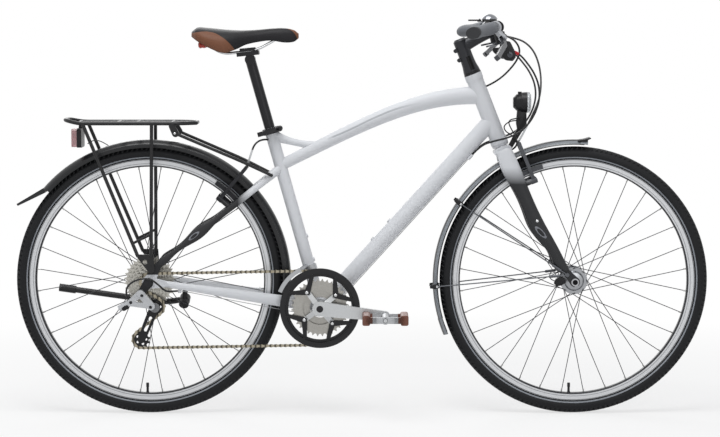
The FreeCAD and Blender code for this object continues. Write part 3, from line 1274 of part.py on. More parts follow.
rear_bore = REAR_AXLE_RADIUS + RUNNING_GAP
cassette_inner_y = CHAIN_Y + CASSETTE_SPACING * (len(CASSETTE_TEETH) - 1)
hub_right_face = cassette_inner_y + CASSETTE_SPACING
REAR_HUB_LEFT_FACE = 58.0
rear_hub = turned([
    (rear_bore, hub_right_face), (REAR_BARREL_RADIUS, hub_right_face),
    (REAR_BARREL_RADIUS, REAR_FLANGE_RIGHT_Y - half_flange),
    (REAR_FLANGE_RADIUS, REAR_FLANGE_RIGHT_Y - half_flange),
    (REAR_FLANGE_RADIUS, REAR_FLANGE_RIGHT_Y + half_flange),
    (REAR_BARREL_RADIUS, REAR_FLANGE_RIGHT_Y + half_flange), (REAR_BARREL_RADIUS - 2, 8),
    (REAR_BARREL_RADIUS, REAR_FLANGE_LEFT_Y - half_flange),
    (REAR_FLANGE_RADIUS, REAR_FLANGE_LEFT_Y - half_flange),
    (REAR_FLANGE_RADIUS, REAR_FLANGE_LEFT_Y + half_flange),
    (REAR_BARREL_RADIUS, REAR_FLANGE_LEFT_Y + half_flange),
    (REAR_BARREL_RADIUS - 2, REAR_HUB_LEFT_FACE), (rear_bore, REAR_HUB_LEFT_FACE),
], REAR_AXLE)
keep("rear_hub", [rear_hub])

AXLE_NUT_RADIUS = 8.5
AXLE_CAP_LENGTH = 9.0
HANGER_THICK = 6.5
front_cone = rod_y(FRONT_AXLE, HUB_CAP_Y + SEAT_GAP, FRONT_HUB_HALF, AXLE_NUT_RADIUS)
front_cap = rod_y(FRONT_AXLE, FORK_TIP_OUTER_Y, FORK_TIP_OUTER_Y + AXLE_CAP_LENGTH, AXLE_CAP_RADIUS)
front_axle = join([
    rod_y(FRONT_AXLE, -FORK_TIP_OUTER_Y, FORK_TIP_OUTER_Y, FRONT_AXLE_RADIUS),
    front_cone, mirrored(front_cone), front_cap, mirrored(front_cap),
])
keep("front_axle", [front_axle])
hanger_face = DROPOUT_OUTER_Y + HANGER_THICK
freehub_face = CHAIN_Y - TOOTH_THICK / 2 - 2.5
rear_axle = join([
    rod_y(REAR_AXLE, -hanger_face, DROPOUT_OUTER_Y, REAR_AXLE_RADIUS),
    rod_y(REAR_AXLE, REAR_HUB_LEFT_FACE + SEAT_GAP, REAR_HUB_HALF, AXLE_NUT_RADIUS),
    rod_y(REAR_AXLE, freehub_face - SEAT_GAP, -REAR_HUB_HALF, AXLE_NUT_RADIUS),
    rod_y(REAR_AXLE, DROPOUT_OUTER_Y, DROPOUT_OUTER_Y + AXLE_CAP_LENGTH, AXLE_CAP_RADIUS),
    rod_y(REAR_AXLE, -hanger_face, -hanger_face - AXLE_CAP_LENGTH, AXLE_CAP_RADIUS),
])
keep("rear_axle", [rear_axle])


# Chain line: pulleys, sprockets and ring that the chain runs round
def pitch_radius(teeth):
    return CHAIN_PITCH / 2 / math.sin(math.pi / teeth)


GUIDE_PULLEY = REAR_AXLE + vec(GUIDE_PULLEY_AHEAD, 0, -GUIDE_PULLEY_DROP)
CAGE_ANGLE_GUESS = 249.0


def chain_path(cage_angle):
    """Pieces of the chain's closed pitch line: arcs on the wheels and the runs between them."""
    tension = polar(GUIDE_PULLEY, CAGE_LENGTH, cage_angle)
    stops = [
        (REAR_AXLE, pitch_radius(CASSETTE_TEETH[0]), -1), (BOTTOM_BRACKET, pitch_radius(RING_TEETH), -1),
        (tension, pitch_radius(PULLEY_TEETH), -1), (GUIDE_PULLEY, pitch_radius(PULLEY_TEETH), 1),
    ]
    runs = []
    for index, (centre, radius, turn) in enumerate(stops):
        next_centre, next_radius, next_turn = stops[(index + 1) % len(stops)]
        across = next_centre - centre
        lean = math.asin((next_turn * next_radius - turn * radius) / across.Length)
        heading = math.atan2(across.z, across.x) - lean
        normal = vec(-math.sin(heading), 0, math.cos(heading))
        runs.append((centre - normal * (turn * radius), next_centre - normal * (next_turn * next_radius)))
    pieces = []
    for index, (start, end) in enumerate(runs):
        pieces.append(("run", start, end, (end - start).Length))
        centre, radius, turn = stops[(index + 1) % len(stops)]
        leave = runs[(index + 1) % len(runs)][0]
        from_angle = math.atan2(end.z - centre.z, end.x - centre.x)
        to_angle = math.atan2(leave.z - centre.z, leave.x - centre.x)
        sweep = (turn * (to_angle - from_angle)) % (2 * math.pi)
        pieces.append(("arc", centre, (radius, from_angle, turn), sweep * radius))
    return tension, pieces


def path_spot(pieces, length):
    total = sum(piece[3] for piece in pieces)
    length = length % total
    for kind, first, second, size in pieces:
        if length <= size:
            break
        length -= size
    if kind == "run":
        return first + (second - first) * (length / size)
    radius, from_angle, turn = second
    return polar(first, radius, math.degrees(from_angle + turn * length / radius))


def next_pin(pieces, place):
    """Walk along the line to the next pin, one chain pitch away in a straight line."""
    here = path_spot(pieces, place)
    low = place + 0.9 * CHAIN_PITCH
    high = place + 1.1 * CHAIN_PITCH
    for _ in range(40):
        middle = (low + high) / 2
        if (path_spot(pieces, middle) - here).Length < CHAIN_PITCH:
            low = middle
        else:
            high = middle
    return high


def chain_slack(cage_angle, count):
    tension, pieces = chain_path(cage_angle)
    place = 0.0
    for _ in range(count):
        place = next_pin(pieces, place)
    return place - sum(piece[3] for piece in pieces)


guess_length = sum(piece[3] for piece in chain_path(CAGE_ANGLE_GUESS)[1])
LINK_COUNT = 2 * round(guess_length / CHAIN_PITCH / 2 - 0.25)
CAGE_SWING = 14.0
low_angle = CAGE_ANGLE_GUESS - CAGE_SWING
high_angle = CAGE_ANGLE_GUESS + CAGE_SWING
low_slack = chain_slack(low_angle, LINK_COUNT)
for _ in range(40):
    cage_angle = (low_angle + high_angle) / 2
    slack = chain_slack(cage_angle, LINK_COUNT)
    if slack * low_slack > 0:
        low_angle = cage_angle
    else:
        high_angle = cage_angle
TENSION_PULLEY, chain_pieces = chain_path(cage_angle)
chain_pins = []
chain_place = 0.0
for _ in range(LINK_COUNT):
    chain_pins.append(path_spot(chain_pieces, chain_place))
    chain_place = next_pin(chain_pieces, chain_place)
print("chain links", LINK_COUNT, "cage angle", round(cage_angle, 2), "closing error", round(slack, 4))

# Chain links: an inner link with rollers and an outer link with pins, copied along the pins
PLATE_RADIUS = 4.1
PLATE_WAIST = 2.9
PLATE_THICK = 0.9
PIN_STAND = 0.2
INNER_GAP_HALF = 1.2
PIN_RADIUS = 1.8
PLATE_GAP = 0.06


def chain_plate(y_from, y_to):
    turn = math.radians(60)
    near = PLATE_RADIUS * math.cos(turn)
    high = PLATE_RADIUS * math.sin(turn)
    corners = [vec(near, y_from, high), vec(CHAIN_PITCH - near, y_from, high),
               vec(CHAIN_PITCH - near, y_from, -high), vec(near, y_from, -high)]
    middles = [vec(CHAIN_PITCH / 2, y_from, PLATE_WAIST), vec(CHAIN_PITCH + PLATE_RADIUS, y_from, 0),
               vec(CHAIN_PITCH / 2, y_from, -PLATE_WAIST), vec(-PLATE_RADIUS, y_from, 0)]
    edges = [Part.Arc(corners[i], middles[i], corners[(i + 1) % 4]).toShape() for i in range(4)]
    return Part.Face(Part.Wire(edges)).extrude(SIDEWAYS * (y_to - y_from))


def chain_link(gap_half, pin_half, pin_radius):
    shapes = [chain_plate(side * gap_half, side * (gap_half + PLATE_THICK)) for side in (-1, 1)]
    for x in (0, CHAIN_PITCH):
        shapes.append(rod_y(vec(x, 0, 0), -pin_half, pin_half, pin_radius))
    return join(shapes)


outer_gap_half = INNER_GAP_HALF + PLATE_THICK + PLATE_GAP
inner_link = chain_link(INNER_GAP_HALF, INNER_GAP_HALF, ROLLER_RADIUS)
for x in (0, CHAIN_PITCH):
    inner_link = inner_link.cut(rod_y(vec(x, 0, 0), -5, 5, PIN_RADIUS + RUNNING_GAP))
outer_link = chain_link(outer_gap_half, outer_gap_half + PLATE_THICK + PIN_STAND, PIN_RADIUS)
links = []
for index, pin in enumerate(chain_pins):
    following = chain_pins[(index + 1) % LINK_COUNT]
    heading = math.degrees(math.atan2(following.z - pin.z, following.x - pin.x))
    copy = (inner_link if index % 2 else outer_link).copy()
    turn = FreeCAD.Rotation(SIDEWAYS, -heading)
    copy.Placement = FreeCAD.Placement(at_y(pin, CHAIN_Y), turn)
    links.append(copy)
keep("chain", links)

# Toothed wheels: roller seats on the pitch circle, straight flanks and a narrow tip
SEAT_HALF_ANGLE = 65.0
TIP_HALF_LAND = 0.9
TIP_HEIGHT = 2.4


def toothed_disc(centre, teeth, phase, y, bore, thick=TOOTH_THICK):
    radius = pitch_radius(teeth)
    seat = ROLLER_RADIUS + 0.08
    tip = radius + TIP_HEIGHT
    half_step = math.pi / teeth
    tip_angle = half_step - TIP_HALF_LAND / tip
    spread = math.radians(SEAT_HALF_ANGLE)
    edges = []
    low_y = y - thick / 2
    for index in range(teeth):
        angle = math.radians(phase) + 2 * half_step * index
        out = vec(math.cos(angle), 0, math.sin(angle))
        along = vec(-math.sin(angle), 0, math.cos(angle))
        middle = at_y(centre, low_y) + out * radius

        def flank(side):
            return middle + (along * (side * math.sin(spread)) - out * math.cos(spread)) * seat

        def corner(turn):
            return polar(centre, tip, math.degrees(angle + turn), low_y)

        edges.append(Part.LineSegment(corner(-tip_angle), flank(-1)).toShape())
        edges.append(Part.Arc(flank(-1), middle - out * seat, flank(1)).toShape())
        edges.append(Part.LineSegment(flank(1), corner(tip_angle)).toShape())
        edges.append(Part.LineSegment(corner(tip_angle), corner(2 * half_step - tip_angle)).toShape())
    disc = Part.Face(Part.Wire(edges)).extrude(SIDEWAYS * thick)
    return disc.cut(rod_y(centre, low_y, low_y + thick, bore))


def mesh_phase(centre, teeth):
    """Angle of a pin that lies on this wheel, so that the teeth fall between the pins."""
    radius = pitch_radius(teeth)
    seated = [pin for pin in chain_pins if abs((pin - centre).Length - radius) < 0.01]
    pin = seated[len(seated) // 2]
    return math.degrees(math.atan2(pin.z - centre.z, pin.x - centre.x))


SPACER_RADIUS = 17.5
sprockets = []
for index, teeth in enumerate(CASSETTE_TEETH):
    y = CHAIN_Y + index * CASSETTE_SPACING
    phase = mesh_phase(REAR_AXLE, teeth) if index == 0 else 0.0
    disc = toothed_disc(REAR_AXLE, teeth, phase, y, FREEHUB_RADIUS)
    if index < len(CASSETTE_TEETH) - 1:
        inner_face = y + TOOTH_THICK / 2
        ring = rod_y(REAR_AXLE, inner_face, inner_face + CASSETTE_SPACING - TOOTH_THICK, SPACER_RADIUS)
        disc = disc.fuse(ring.cut(rod_y(REAR_AXLE, inner_face, inner_face + CASSETTE_SPACING,
                                        FREEHUB_RADIUS)))
    sprockets.append(disc)
freehub = sleeve(at_y(REAR_AXLE, hub_right_face - SEAT_GAP), at_y(REAR_AXLE, freehub_face),
                 FREEHUB_RADIUS, rear_bore)
lockring = sleeve(at_y(REAR_AXLE, CHAIN_Y - TOOTH_THICK / 2), at_y(REAR_AXLE, freehub_face),
                  SPACER_RADIUS, FREEHUB_RADIUS)
keep("cassette", sprockets + [freehub.fuse(lockring)])

PULLEY_PIN_RADIUS = 3.0
PULLEY_HALF = 3.6
for name, centre in (("guide_pulley", GUIDE_PULLEY), ("tension_pulley", TENSION_PULLEY)):
    wheel_bore = PULLEY_PIN_RADIUS + RUNNING_GAP
    disc = toothed_disc(centre, PULLEY_TEETH, mesh_phase(centre, PULLEY_TEETH), CHAIN_Y, wheel_bore)
    collar_ring = sleeve(at_y(centre, CHAIN_Y - PULLEY_HALF), at_y(centre, CHAIN_Y + PULLEY_HALF), 7.0,
                         wheel_bore)
    for step in range(5):
        disc = disc.cut(rod_y(polar(centre, 12.0, 72 * step), CHAIN_Y - 3, CHAIN_Y + 3, 3.2))
    keep(name, [disc.fuse(collar_ring)])

# Rear derailleur: hanger, parallelogram body, and the cage that carries the pulleys
HANGER_BOLT = REAR_AXLE + vec(-19, 0, -26)
BODY_TAIL = REAR_AXLE + vec(-51, 0, -52)
BODY_NOSE = REAR_AXLE + vec(8, 0, -59)
BODY_INNER_Y = -(DROPOUT_OUTER_Y + HANGER_THICK + 2)
BODY_OUTER_Y = BODY_INNER_Y - 12
CAGE_GAP = 4.4
CAGE_PLATE = 1.8
cage_outer = CHAIN_Y - CAGE_GAP
cage_inner = CHAIN_Y + CAGE_GAP
hanger = link_y(REAR_AXLE, 13.0, HANGER_BOLT, 9.0, -DROPOUT_OUTER_Y, -hanger_face)
hanger = hanger.cut(rod_y(REAR_AXLE, -DROPOUT_OUTER_Y, -hanger_face, REAR_AXLE_RADIUS + SEAT_GAP))
body = join([
    rod_y(HANGER_BOLT, -hanger_face, BODY_OUTER_Y - 3, 9.5),
    link_y(HANGER_BOLT, 9.5, BODY_NOSE, 10.0, BODY_INNER_Y, BODY_OUTER_Y),
    link_y(HANGER_BOLT, 9.5, BODY_TAIL, 6.0, BODY_INNER_Y, BODY_OUTER_Y),
    link_y(BODY_TAIL, 6.0, BODY_NOSE, 7.0, BODY_INNER_Y, BODY_OUTER_Y),
])
body_middle_y = (BODY_INNER_Y + BODY_OUTER_Y) / 2
barrel_root = at_y(BODY_TAIL, body_middle_y)
body = body.fuse(rod(barrel_root, barrel_root + vec(-24, 0, -14), 8.0))
cage = join([
    link_y(GUIDE_PULLEY, 12.0, TENSION_PULLEY, 10.0, cage_outer, cage_outer - CAGE_PLATE),
    link_y(GUIDE_PULLEY, 12.0, TENSION_PULLEY, 10.0, cage_inner, cage_inner + CAGE_PLATE),
    rod_y(GUIDE_PULLEY, cage_outer, cage_inner, PULLEY_PIN_RADIUS),
    rod_y(TENSION_PULLEY, cage_outer, cage_inner, PULLEY_PIN_RADIUS),
    rod_y(GUIDE_PULLEY, cage_outer - CAGE_PLATE, BODY_INNER_Y, 12.5),
])
slot_low = between(GUIDE_PULLEY, TENSION_PULLEY, 0.34)
slot_high = between(GUIDE_PULLEY, TENSION_PULLEY, 0.72)
cage = cage.cut(link_y(slot_low, 4.0, slot_high, 4.0, CHAIN_Y - 12, CHAIN_Y + 12))
keep("rear_derailleur", [hanger, body, cage])

# Front derailleur: a band on the seat tube and a cage over the rings
BAND_REACH = 104.0
BAND_HALF = 7.0
BAND_RADIUS = 19.5
FD_LOW = 106.5
FD_HIGH = 117.0
FD_START = 116.0
FD_SWEEP = 42.0
FD_GAP = 6.0
FD_PLATE = 1.2
fd_outer = CHAIN_Y - FD_GAP
fd_inner = CHAIN_Y + FD_GAP


def fd_plate(y_from, y_to, low, high, start, sweep):
    profile = [(low, y_from), (high, y_from), (high, y_to), (low, y_to)]
    return turned(profile, BOTTOM_BRACKET, start, sweep)


band_middle = seat_point(BAND_REACH)
band = rod(band_middle - SEAT_UP * BAND_HALF, band_middle + SEAT_UP * BAND_HALF, BAND_RADIUS)
fd_arm_root = band_middle + vec(-8, -12, 4)
fd_arm_end = polar(BOTTOM_BRACKET, FD_HIGH - 5, FD_START + 8, fd_inner)
front_derailleur = join([
    fd_plate(fd_outer - FD_PLATE, fd_outer, FD_LOW, FD_HIGH, FD_START, FD_SWEEP),
    fd_plate(fd_inner, fd_inner + FD_PLATE, FD_LOW, FD_HIGH, FD_START, FD_SWEEP),
    fd_plate(fd_outer - FD_PLATE, fd_inner + FD_PLATE, FD_HIGH - 1.2, FD_HIGH, FD_START + FD_SWEEP - 8, 8),
    fd_plate(fd_outer - FD_PLATE, fd_inner + FD_PLATE, FD_HIGH - 1.2, FD_HIGH, FD_START, 14),
    band,
    rod(fd_arm_root, fd_arm_end, 6.5),
])
seat_core = rod(BOTTOM_BRACKET, SEAT_TOP, SEAT_TUBE_RADIUS)
front_derailleur = front_derailleur.cut(seat_core)
chain_way = rod_y(polar(BOTTOM_BRACKET, FD_HIGH - 5, FD_START + 8), fd_outer, fd_inner, 14)
front_derailleur = front_derailleur.cut(chain_way)
keep("front_derailleur", [max(front_derailleur.Solids, key=lambda solid: solid.Volume)])

# Cranks with the spindle and pedal spindles, and the chainrings bolted to the spider
middle_y = CHAIN_Y + RING_SPACING
inner_y = CHAIN_Y + 2 * RING_SPACING
half_tooth = TOOTH_THICK / 2
crank_outer_y = CRANK_INNER_Y + CRANK_THICK
right_pedal_point = polar(BOTTOM_BRACKET, CRANK_LENGTH, CRANK_ANGLE)
left_pedal_point = polar(BOTTOM_BRACKET, CRANK_LENGTH, CRANK_ANGLE + 180)
SPIDER_WIDTH = 13.0
SPIDER_ARMS = 4
SPIDER_OFFSET = 45.0
INNER_BOLT_RADIUS = 33.0
PEDAL_SPINDLE_LENGTH = PEDAL_WIDTH + 6
CRANK_BOSS_RADIUS = 16.5
spider_boss_y = CHAIN_Y + RING_SPACING * 1.4
spider_profile = [
    (10, -CRANK_INNER_Y - 1), (10, spider_boss_y), (40, middle_y - half_tooth),
    (BOLT_CIRCLE_RADIUS + 7, middle_y - half_tooth),
    (BOLT_CIRCLE_RADIUS + 7, CHAIN_Y + half_tooth), (BOLT_CIRCLE_RADIUS - 8, CHAIN_Y + half_tooth),
    (24, -CRANK_INNER_Y + 2),
]
spider_shapes = [
    rod_y(BOTTOM_BRACKET, -cup_face - SEAT_GAP, -CRANK_INNER_Y, CRANK_BOSS_RADIUS),
    rod_y(BOTTOM_BRACKET, -CRANK_INNER_Y, CRANK_INNER_Y, SPINDLE_RADIUS),
    link_y(BOTTOM_BRACKET, 19.0, right_pedal_point, 13.0, -CRANK_INNER_Y, -crank_outer_y),
    rod_y(right_pedal_point, -crank_outer_y, -crank_outer_y - PEDAL_SPINDLE_LENGTH, PEDAL_SPINDLE_RADIUS),
    rod_y(BOTTOM_BRACKET, -crank_outer_y, -crank_outer_y - 3, 13.0),
]
for step in range(SPIDER_ARMS):
    arm_angle = CRANK_ANGLE + SPIDER_OFFSET + step * 360 / SPIDER_ARMS
    sideways = polar(vec(0, 0, 0), SPIDER_WIDTH, arm_angle + 90)
    outline = [polar(BOTTOM_BRACKET, radius, arm_angle, y) - sideways * 0.5 for radius, y in spider_profile]
    spider_shapes.append(prism(outline, sideways))
    spacer_low = polar(BOTTOM_BRACKET, INNER_BOLT_RADIUS, arm_angle)
    spider_shapes.append(rod_y(spacer_low, inner_y - half_tooth, middle_y - 3, 4.5))
right_crank = join(spider_shapes)
left_crank = join([
    rod_y(BOTTOM_BRACKET, cup_face + SEAT_GAP, CRANK_INNER_Y, CRANK_BOSS_RADIUS),
    link_y(BOTTOM_BRACKET, 19.0, left_pedal_point, 13.0, CRANK_INNER_Y, crank_outer_y),
    rod_y(left_pedal_point, crank_outer_y, crank_outer_y + PEDAL_SPINDLE_LENGTH, PEDAL_SPINDLE_RADIUS),
    rod_y(BOTTOM_BRACKET, crank_outer_y, crank_outer_y + 3, 13.0),
])
left_crank = left_crank.cut(rod_y(BOTTOM_BRACKET, 0, CRANK_INNER_Y, SPINDLE_RADIUS))
keep("crank_arms", [right_crank, left_crank])

RING_BORE = 82.0
GUARD_INNER = 90.0
GUARD_INNER_Y = CHAIN_Y - 6.0
GUARD_OUTER_Y = GUARD_INNER_Y - 2.6
outer_ring = toothed_disc(BOTTOM_BRACKET, RING_TEETH, mesh_phase(BOTTOM_BRACKET, RING_TEETH), CHAIN_Y,
                          RING_BORE)
ring_face = (CHAIN_Y - half_tooth, CHAIN_Y + half_tooth)
V_SPREAD = 24.0
guard = turned([
    (GUARD_INNER, GUARD_INNER_Y), (GUARD_RADIUS, GUARD_INNER_Y), (GUARD_RADIUS, GUARD_OUTER_Y),
    (GUARD_INNER, GUARD_OUTER_Y),
], BOTTOM_BRACKET)
v_arms = []
guard_pegs = []
for step in range(SPIDER_ARMS):
    arm_angle = CRANK_ANGLE + SPIDER_OFFSET + step * 360 / SPIDER_ARMS
    bolt = polar(BOTTOM_BRACKET, BOLT_CIRCLE_RADIUS, arm_angle)
    for spread in (-V_SPREAD, V_SPREAD):
        foot = polar(BOTTOM_BRACKET, RING_BORE + 2, arm_angle + spread)
        v_arms.append(link_y(bolt, 7.5, foot, 5.0, *ring_face))
        peg = polar(BOTTOM_BRACKET, RING_BORE + 7, arm_angle + spread)
        guard_pegs.append(rod_y(peg, CHAIN_Y - half_tooth, GUARD_OUTER_Y, 3.0))
outer_ring = join([outer_ring] + v_arms)
guard = join([guard] + guard_pegs)
keep("outer_chainring", [outer_ring, guard])
middle_ring = toothed_disc(BOTTOM_BRACKET, MIDDLE_TEETH, 0, middle_y, BOLT_CIRCLE_RADIUS - 7)
inner_ring = toothed_disc(BOTTOM_BRACKET, INNER_TEETH, 0, inner_y, INNER_BOLT_RADIUS - 6)
keep("inner_chainrings", [middle_ring, inner_ring])


# Pedals: a barrel between two side plates, with rubber treads front and back
PEDAL_BARREL_RADIUS = 10.0
PEDAL_PLATE_THICK = 8.0
PEDAL_PLATE_HALF_HEIGHT = 8.0
TREAD_LENGTH = 20.0
TREAD_HALF_HEIGHT = 13.0
TREAD_ROUND = 5.0


def pedal(point, side):
    start = crank_outer_y + 4
    end = start + PEDAL_WIDTH
    inner_x = PEDAL_LENGTH / 2 - TREAD_LENGTH
    shapes = [rod_y(point, side * start, side * end, PEDAL_BARREL_RADIUS)]
    for near in (start, end - PEDAL_PLATE_THICK):
        low_y = min(side * near, side * (near + PEDAL_PLATE_THICK))
        shapes.append(Part.makeBox(2 * inner_x, PEDAL_PLATE_THICK, 2 * PEDAL_PLATE_HALF_HEIGHT,
                                   vec(point.x - inner_x, low_y, point.z - PEDAL_PLATE_HALF_HEIGHT)))
    body = join(shapes).cut(rod_y(point, side * start, side * end, PEDAL_SPINDLE_RADIUS + RUNNING_GAP))
    treads = []
    for low_x in (inner_x, -inner_x - TREAD_LENGTH):
        low_y = min(side * start, side * end)
        tread = Part.makeBox(TREAD_LENGTH, PEDAL_WIDTH, 2 * TREAD_HALF_HEIGHT,
                             vec(point.x + low_x, low_y, point.z - TREAD_HALF_HEIGHT))
        long_edges = [edge for edge in tread.Edges if abs(edge.tangentAt(edge.FirstParameter).y) > 0.9]
        treads.append(tread.makeFillet(TREAD_ROUND, long_edges))
    return [body] + treads


keep("right_pedal", pedal(right_pedal_point, -1))
keep("left_pedal", pedal(left_pedal_point, 1))

# Rim brakes: four linear-pull arms, each with its pad, and the noodle on each right arm
PAD_LOW = RIM_TRACK_RADIUS - 5.5
PAD_HIGH = RIM_TRACK_RADIUS + 5.5
ARM_HALF_THICK = 4.5
NOODLE_RADIUS = 2.5


def brake_arm(axle, angle, place):
    """The left arm and its pad."""
    pivot, radial, tangent = place
    centre = at_y(pivot, BRAKE_PIVOT_Y)

    def spot(rise, out, along=0.0):
        return centre + radial * rise + SIDEWAYS * out + tangent * along

    outline = [
        spot(-6, -6, -ARM_HALF_THICK), spot(BRAKE_ARM_LENGTH, -11, -ARM_HALF_THICK),
        spot(BRAKE_ARM_LENGTH, -1, -ARM_HALF_THICK),
        spot(62, 5, -ARM_HALF_THICK), spot(20, 8, -ARM_HALF_THICK), spot(-6, 6, -ARM_HALF_THICK),
    ]
    arm = prism(outline, tangent * (2 * ARM_HALF_THICK))
    barrel_start = centre - tangent * BRAKE_BARREL_HALF
    barrel_end = centre + tangent * BRAKE_BARREL_HALF
    arm = arm.fuse(rod(barrel_start, barrel_end, BRAKE_BARREL_RADIUS))
    arm = arm.cut(rod(barrel_start, barrel_end, BRAKE_STUD_RADIUS + RUNNING_GAP))
    pad_face = RIM_HALF_WIDTH + PAD_GAP
    pad_back = pad_face + PAD_THICK
    pad = turned([(PAD_LOW, pad_face), (PAD_HIGH, pad_face), (PAD_HIGH, pad_back), (PAD_LOW, pad_back)],
                 axle, angle - PAD_SPREAD, 2 * PAD_SPREAD)
    post_foot = polar(axle, RIM_TRACK_RADIUS, angle)
    post_end = BRAKE_PIVOT_Y + 13
    pad = pad.fuse(rod_y(post_foot, pad_back - 1, post_end, PAD_POST_RADIUS))
    arm = arm.cut(rod_y(post_foot, pad_back, post_end, PAD_POST_RADIUS + RUNNING_GAP))
    return [arm, pad]


front_left_brake = brake_arm(FRONT_AXLE, FRONT_BRAKE_ANGLE, front_brake)
rear_left_brake = brake_arm(REAR_AXLE, REAR_BRAKE_ANGLE, rear_brake)


def noodle(place, lift):
    """A bent metal pipe that turns the cable in towards the other arm."""
    pivot, radial, tangent = place
    top = at_y(pivot + radial * (BRAKE_ARM_LENGTH + NOODLE_RADIUS + SEAT_GAP), -BRAKE_PIVOT_Y)
    return bent_rod([
        top + vec(0, 27, 0), top + vec(0, 4, 0), top + vec(lift[0] * 0.45, -3, lift[1] * 0.45),
        top + vec(lift[0], -1, lift[1]),
    ], NOODLE_RADIUS)


FRONT_NOODLE_LIFT = (24.0, 46.0)
REAR_NOODLE_LIFT = (14.0, 44.0)
keep("front_brake_left", front_left_brake)
keep("rear_brake_left", rear_left_brake)
keep("front_brake_right", [mirrored(shape) for shape in front_left_brake] + [noodle(front_brake,
                                                                                    FRONT_NOODLE_LIFT)])
keep("rear_brake_right", [mirrored(shape) for shape in rear_left_brake] + [noodle(rear_brake,
                                                                                  REAR_NOODLE_LIFT)])

# Kickstand, folded up beside the left chainstay
STAND_FOOT_LENGTH = 44.0
stand_hub = sleeve(STAND_PIVOT - STAND_AXIS * STAND_HUB_HALF, STAND_PIVOT + STAND_AXIS * STAND_HUB_HALF,
                   STAND_HUB_RADIUS, STAND_PIN_RADIUS + RUNNING_GAP)
stand_tip = STAND_PIVOT + STAND_FOLDED * STAND_LEG_LENGTH
stand_leg = bent_rod([
    STAND_PIVOT, STAND_PIVOT + vec(-51.5, 11, -9), STAND_PIVOT + vec(-135, 12, 2), stand_tip,
], STAND_LEG_RADIUS)
stand_leg = stand_leg.cut(rod(STAND_PIVOT - STAND_AXIS * 30, STAND_PIVOT + STAND_AXIS * 30,
                              STAND_HUB_RADIUS - 2))
stand_foot = rod(stand_tip - unit(stand_tip - STAND_PIVOT - vec(-135, 12, 2)) * STAND_FOOT_LENGTH,
                 stand_tip, STAND_LEG_RADIUS + 2.5)
keep("kickstand", [join([stand_hub, stand_leg, stand_foot])])

# Cables: housings that cross from the bar to the frame, the ones on the fork, and the ones on the frame
def housing(name, points):
    print("cable", name, "length", round(rounded_path(points).Length))
    return bent_rod(points, HOUSING_RADIUS)


def hung(start, end, bends):
    """Points beside the straight line between two cable ends: share of the line, then x, y and z off it."""
    return [between(start, end, share) + vec(x, y, z) for share, x, y, z in bends]


CABLE_END_GAP = 0.3
NOODLE_END_GAP = 1.0
shift_stop = CABLE_STOP_REACH + CABLE_STOP_LENGTH + CABLE_END_GAP
pod_exit = pod_seat + pod_down * 35 - pod_back * (POD_RADIUS + CABLE_END_GAP)
shift_start_point = flipped(pod_exit)
shift_end_point = cable_point(shift_stop, -CABLE_Y)
SHIFT_BENDS = (
    (0.11, 43, 3, -1), (0.19, 70, 1, -1), (0.28, 95, 3, 1),
    (0.39, 119, 5, -1), (0.51, 131, 1, -1), (0.63, 131, -7, -0),
    (0.73, 121, -17, -0), (0.81, 103, -23, 1), (0.85, 74, -17, -1),
    (0.88, 45, -5, -0),
)
shift_route = [shift_start_point, flipped(pod_exit - pod_back * 14)]
shift_route += hung(shift_start_point, shift_end_point, SHIFT_BENDS)
shift_route += [cable_point(shift_stop + 32, -CABLE_Y - 2), shift_end_point]
bracket_out = unit(reach_way * 4 - grip_out * 20)
bracket_exit = lever_pivot - grip_out * 26 - reach_way * 4 + bracket_out * CABLE_END_GAP
bracket_lead = bracket_exit + bracket_out * 16
top_tube_entry = HEAD_TOP + vec(-16.15, 24.5, -49.92)
REAR_BRAKE_BENDS = (
    (0.09, 38, 26, -1), (0.24, 64, 21, -0), (0.39, 74, 20, -1),
    (0.56, 74, 15, -0), (0.73, 65, 16, -1), (0.87, 48, 23, 0),
    (0.95, 23, 18, 0),
)
rear_brake_route = [flipped(bracket_exit), flipped(bracket_lead)]
rear_brake_route += hung(flipped(bracket_exit), top_tube_entry, REAR_BRAKE_BENDS) + [top_tube_entry]
shift_cable = housing("shift", shift_route)
rear_brake_cable = housing("rear brake, front half", rear_brake_route)
keep("steering_cables", [shift_cable, mirrored(shift_cable), rear_brake_cable])


def noodle_end(place, lift):
    """Where a housing meets a noodle, and the direction it comes from."""
    pivot, radial, tangent = place
    top = at_y(pivot + radial * (BRAKE_ARM_LENGTH + NOODLE_RADIUS + SEAT_GAP), -BRAKE_PIVOT_Y)
    outward = unit(vec(lift[0] * 0.55, 2, lift[1] * 0.55))
    end = top + vec(lift[0], -1, lift[1]) + outward * NOODLE_END_GAP
    return end, outward


front_end_point, front_outward = noodle_end(front_brake, FRONT_NOODLE_LIFT)
FRONT_BRAKE_BENDS = (
    (0.04, 37, -35, 1), (0.08, 61, -44, 0), (0.18, 76, -46, -1),
    (0.35, 78, -35, -0), (0.54, 68, -25, 1), (0.71, 51, -22, -0),
)
front_brake_route = [bracket_exit, bracket_lead] + hung(bracket_exit, front_end_point, FRONT_BRAKE_BENDS)
front_brake_route += [front_end_point + front_outward * 30, front_end_point]
keep("fork_cables", [housing("front brake", front_brake_route)])

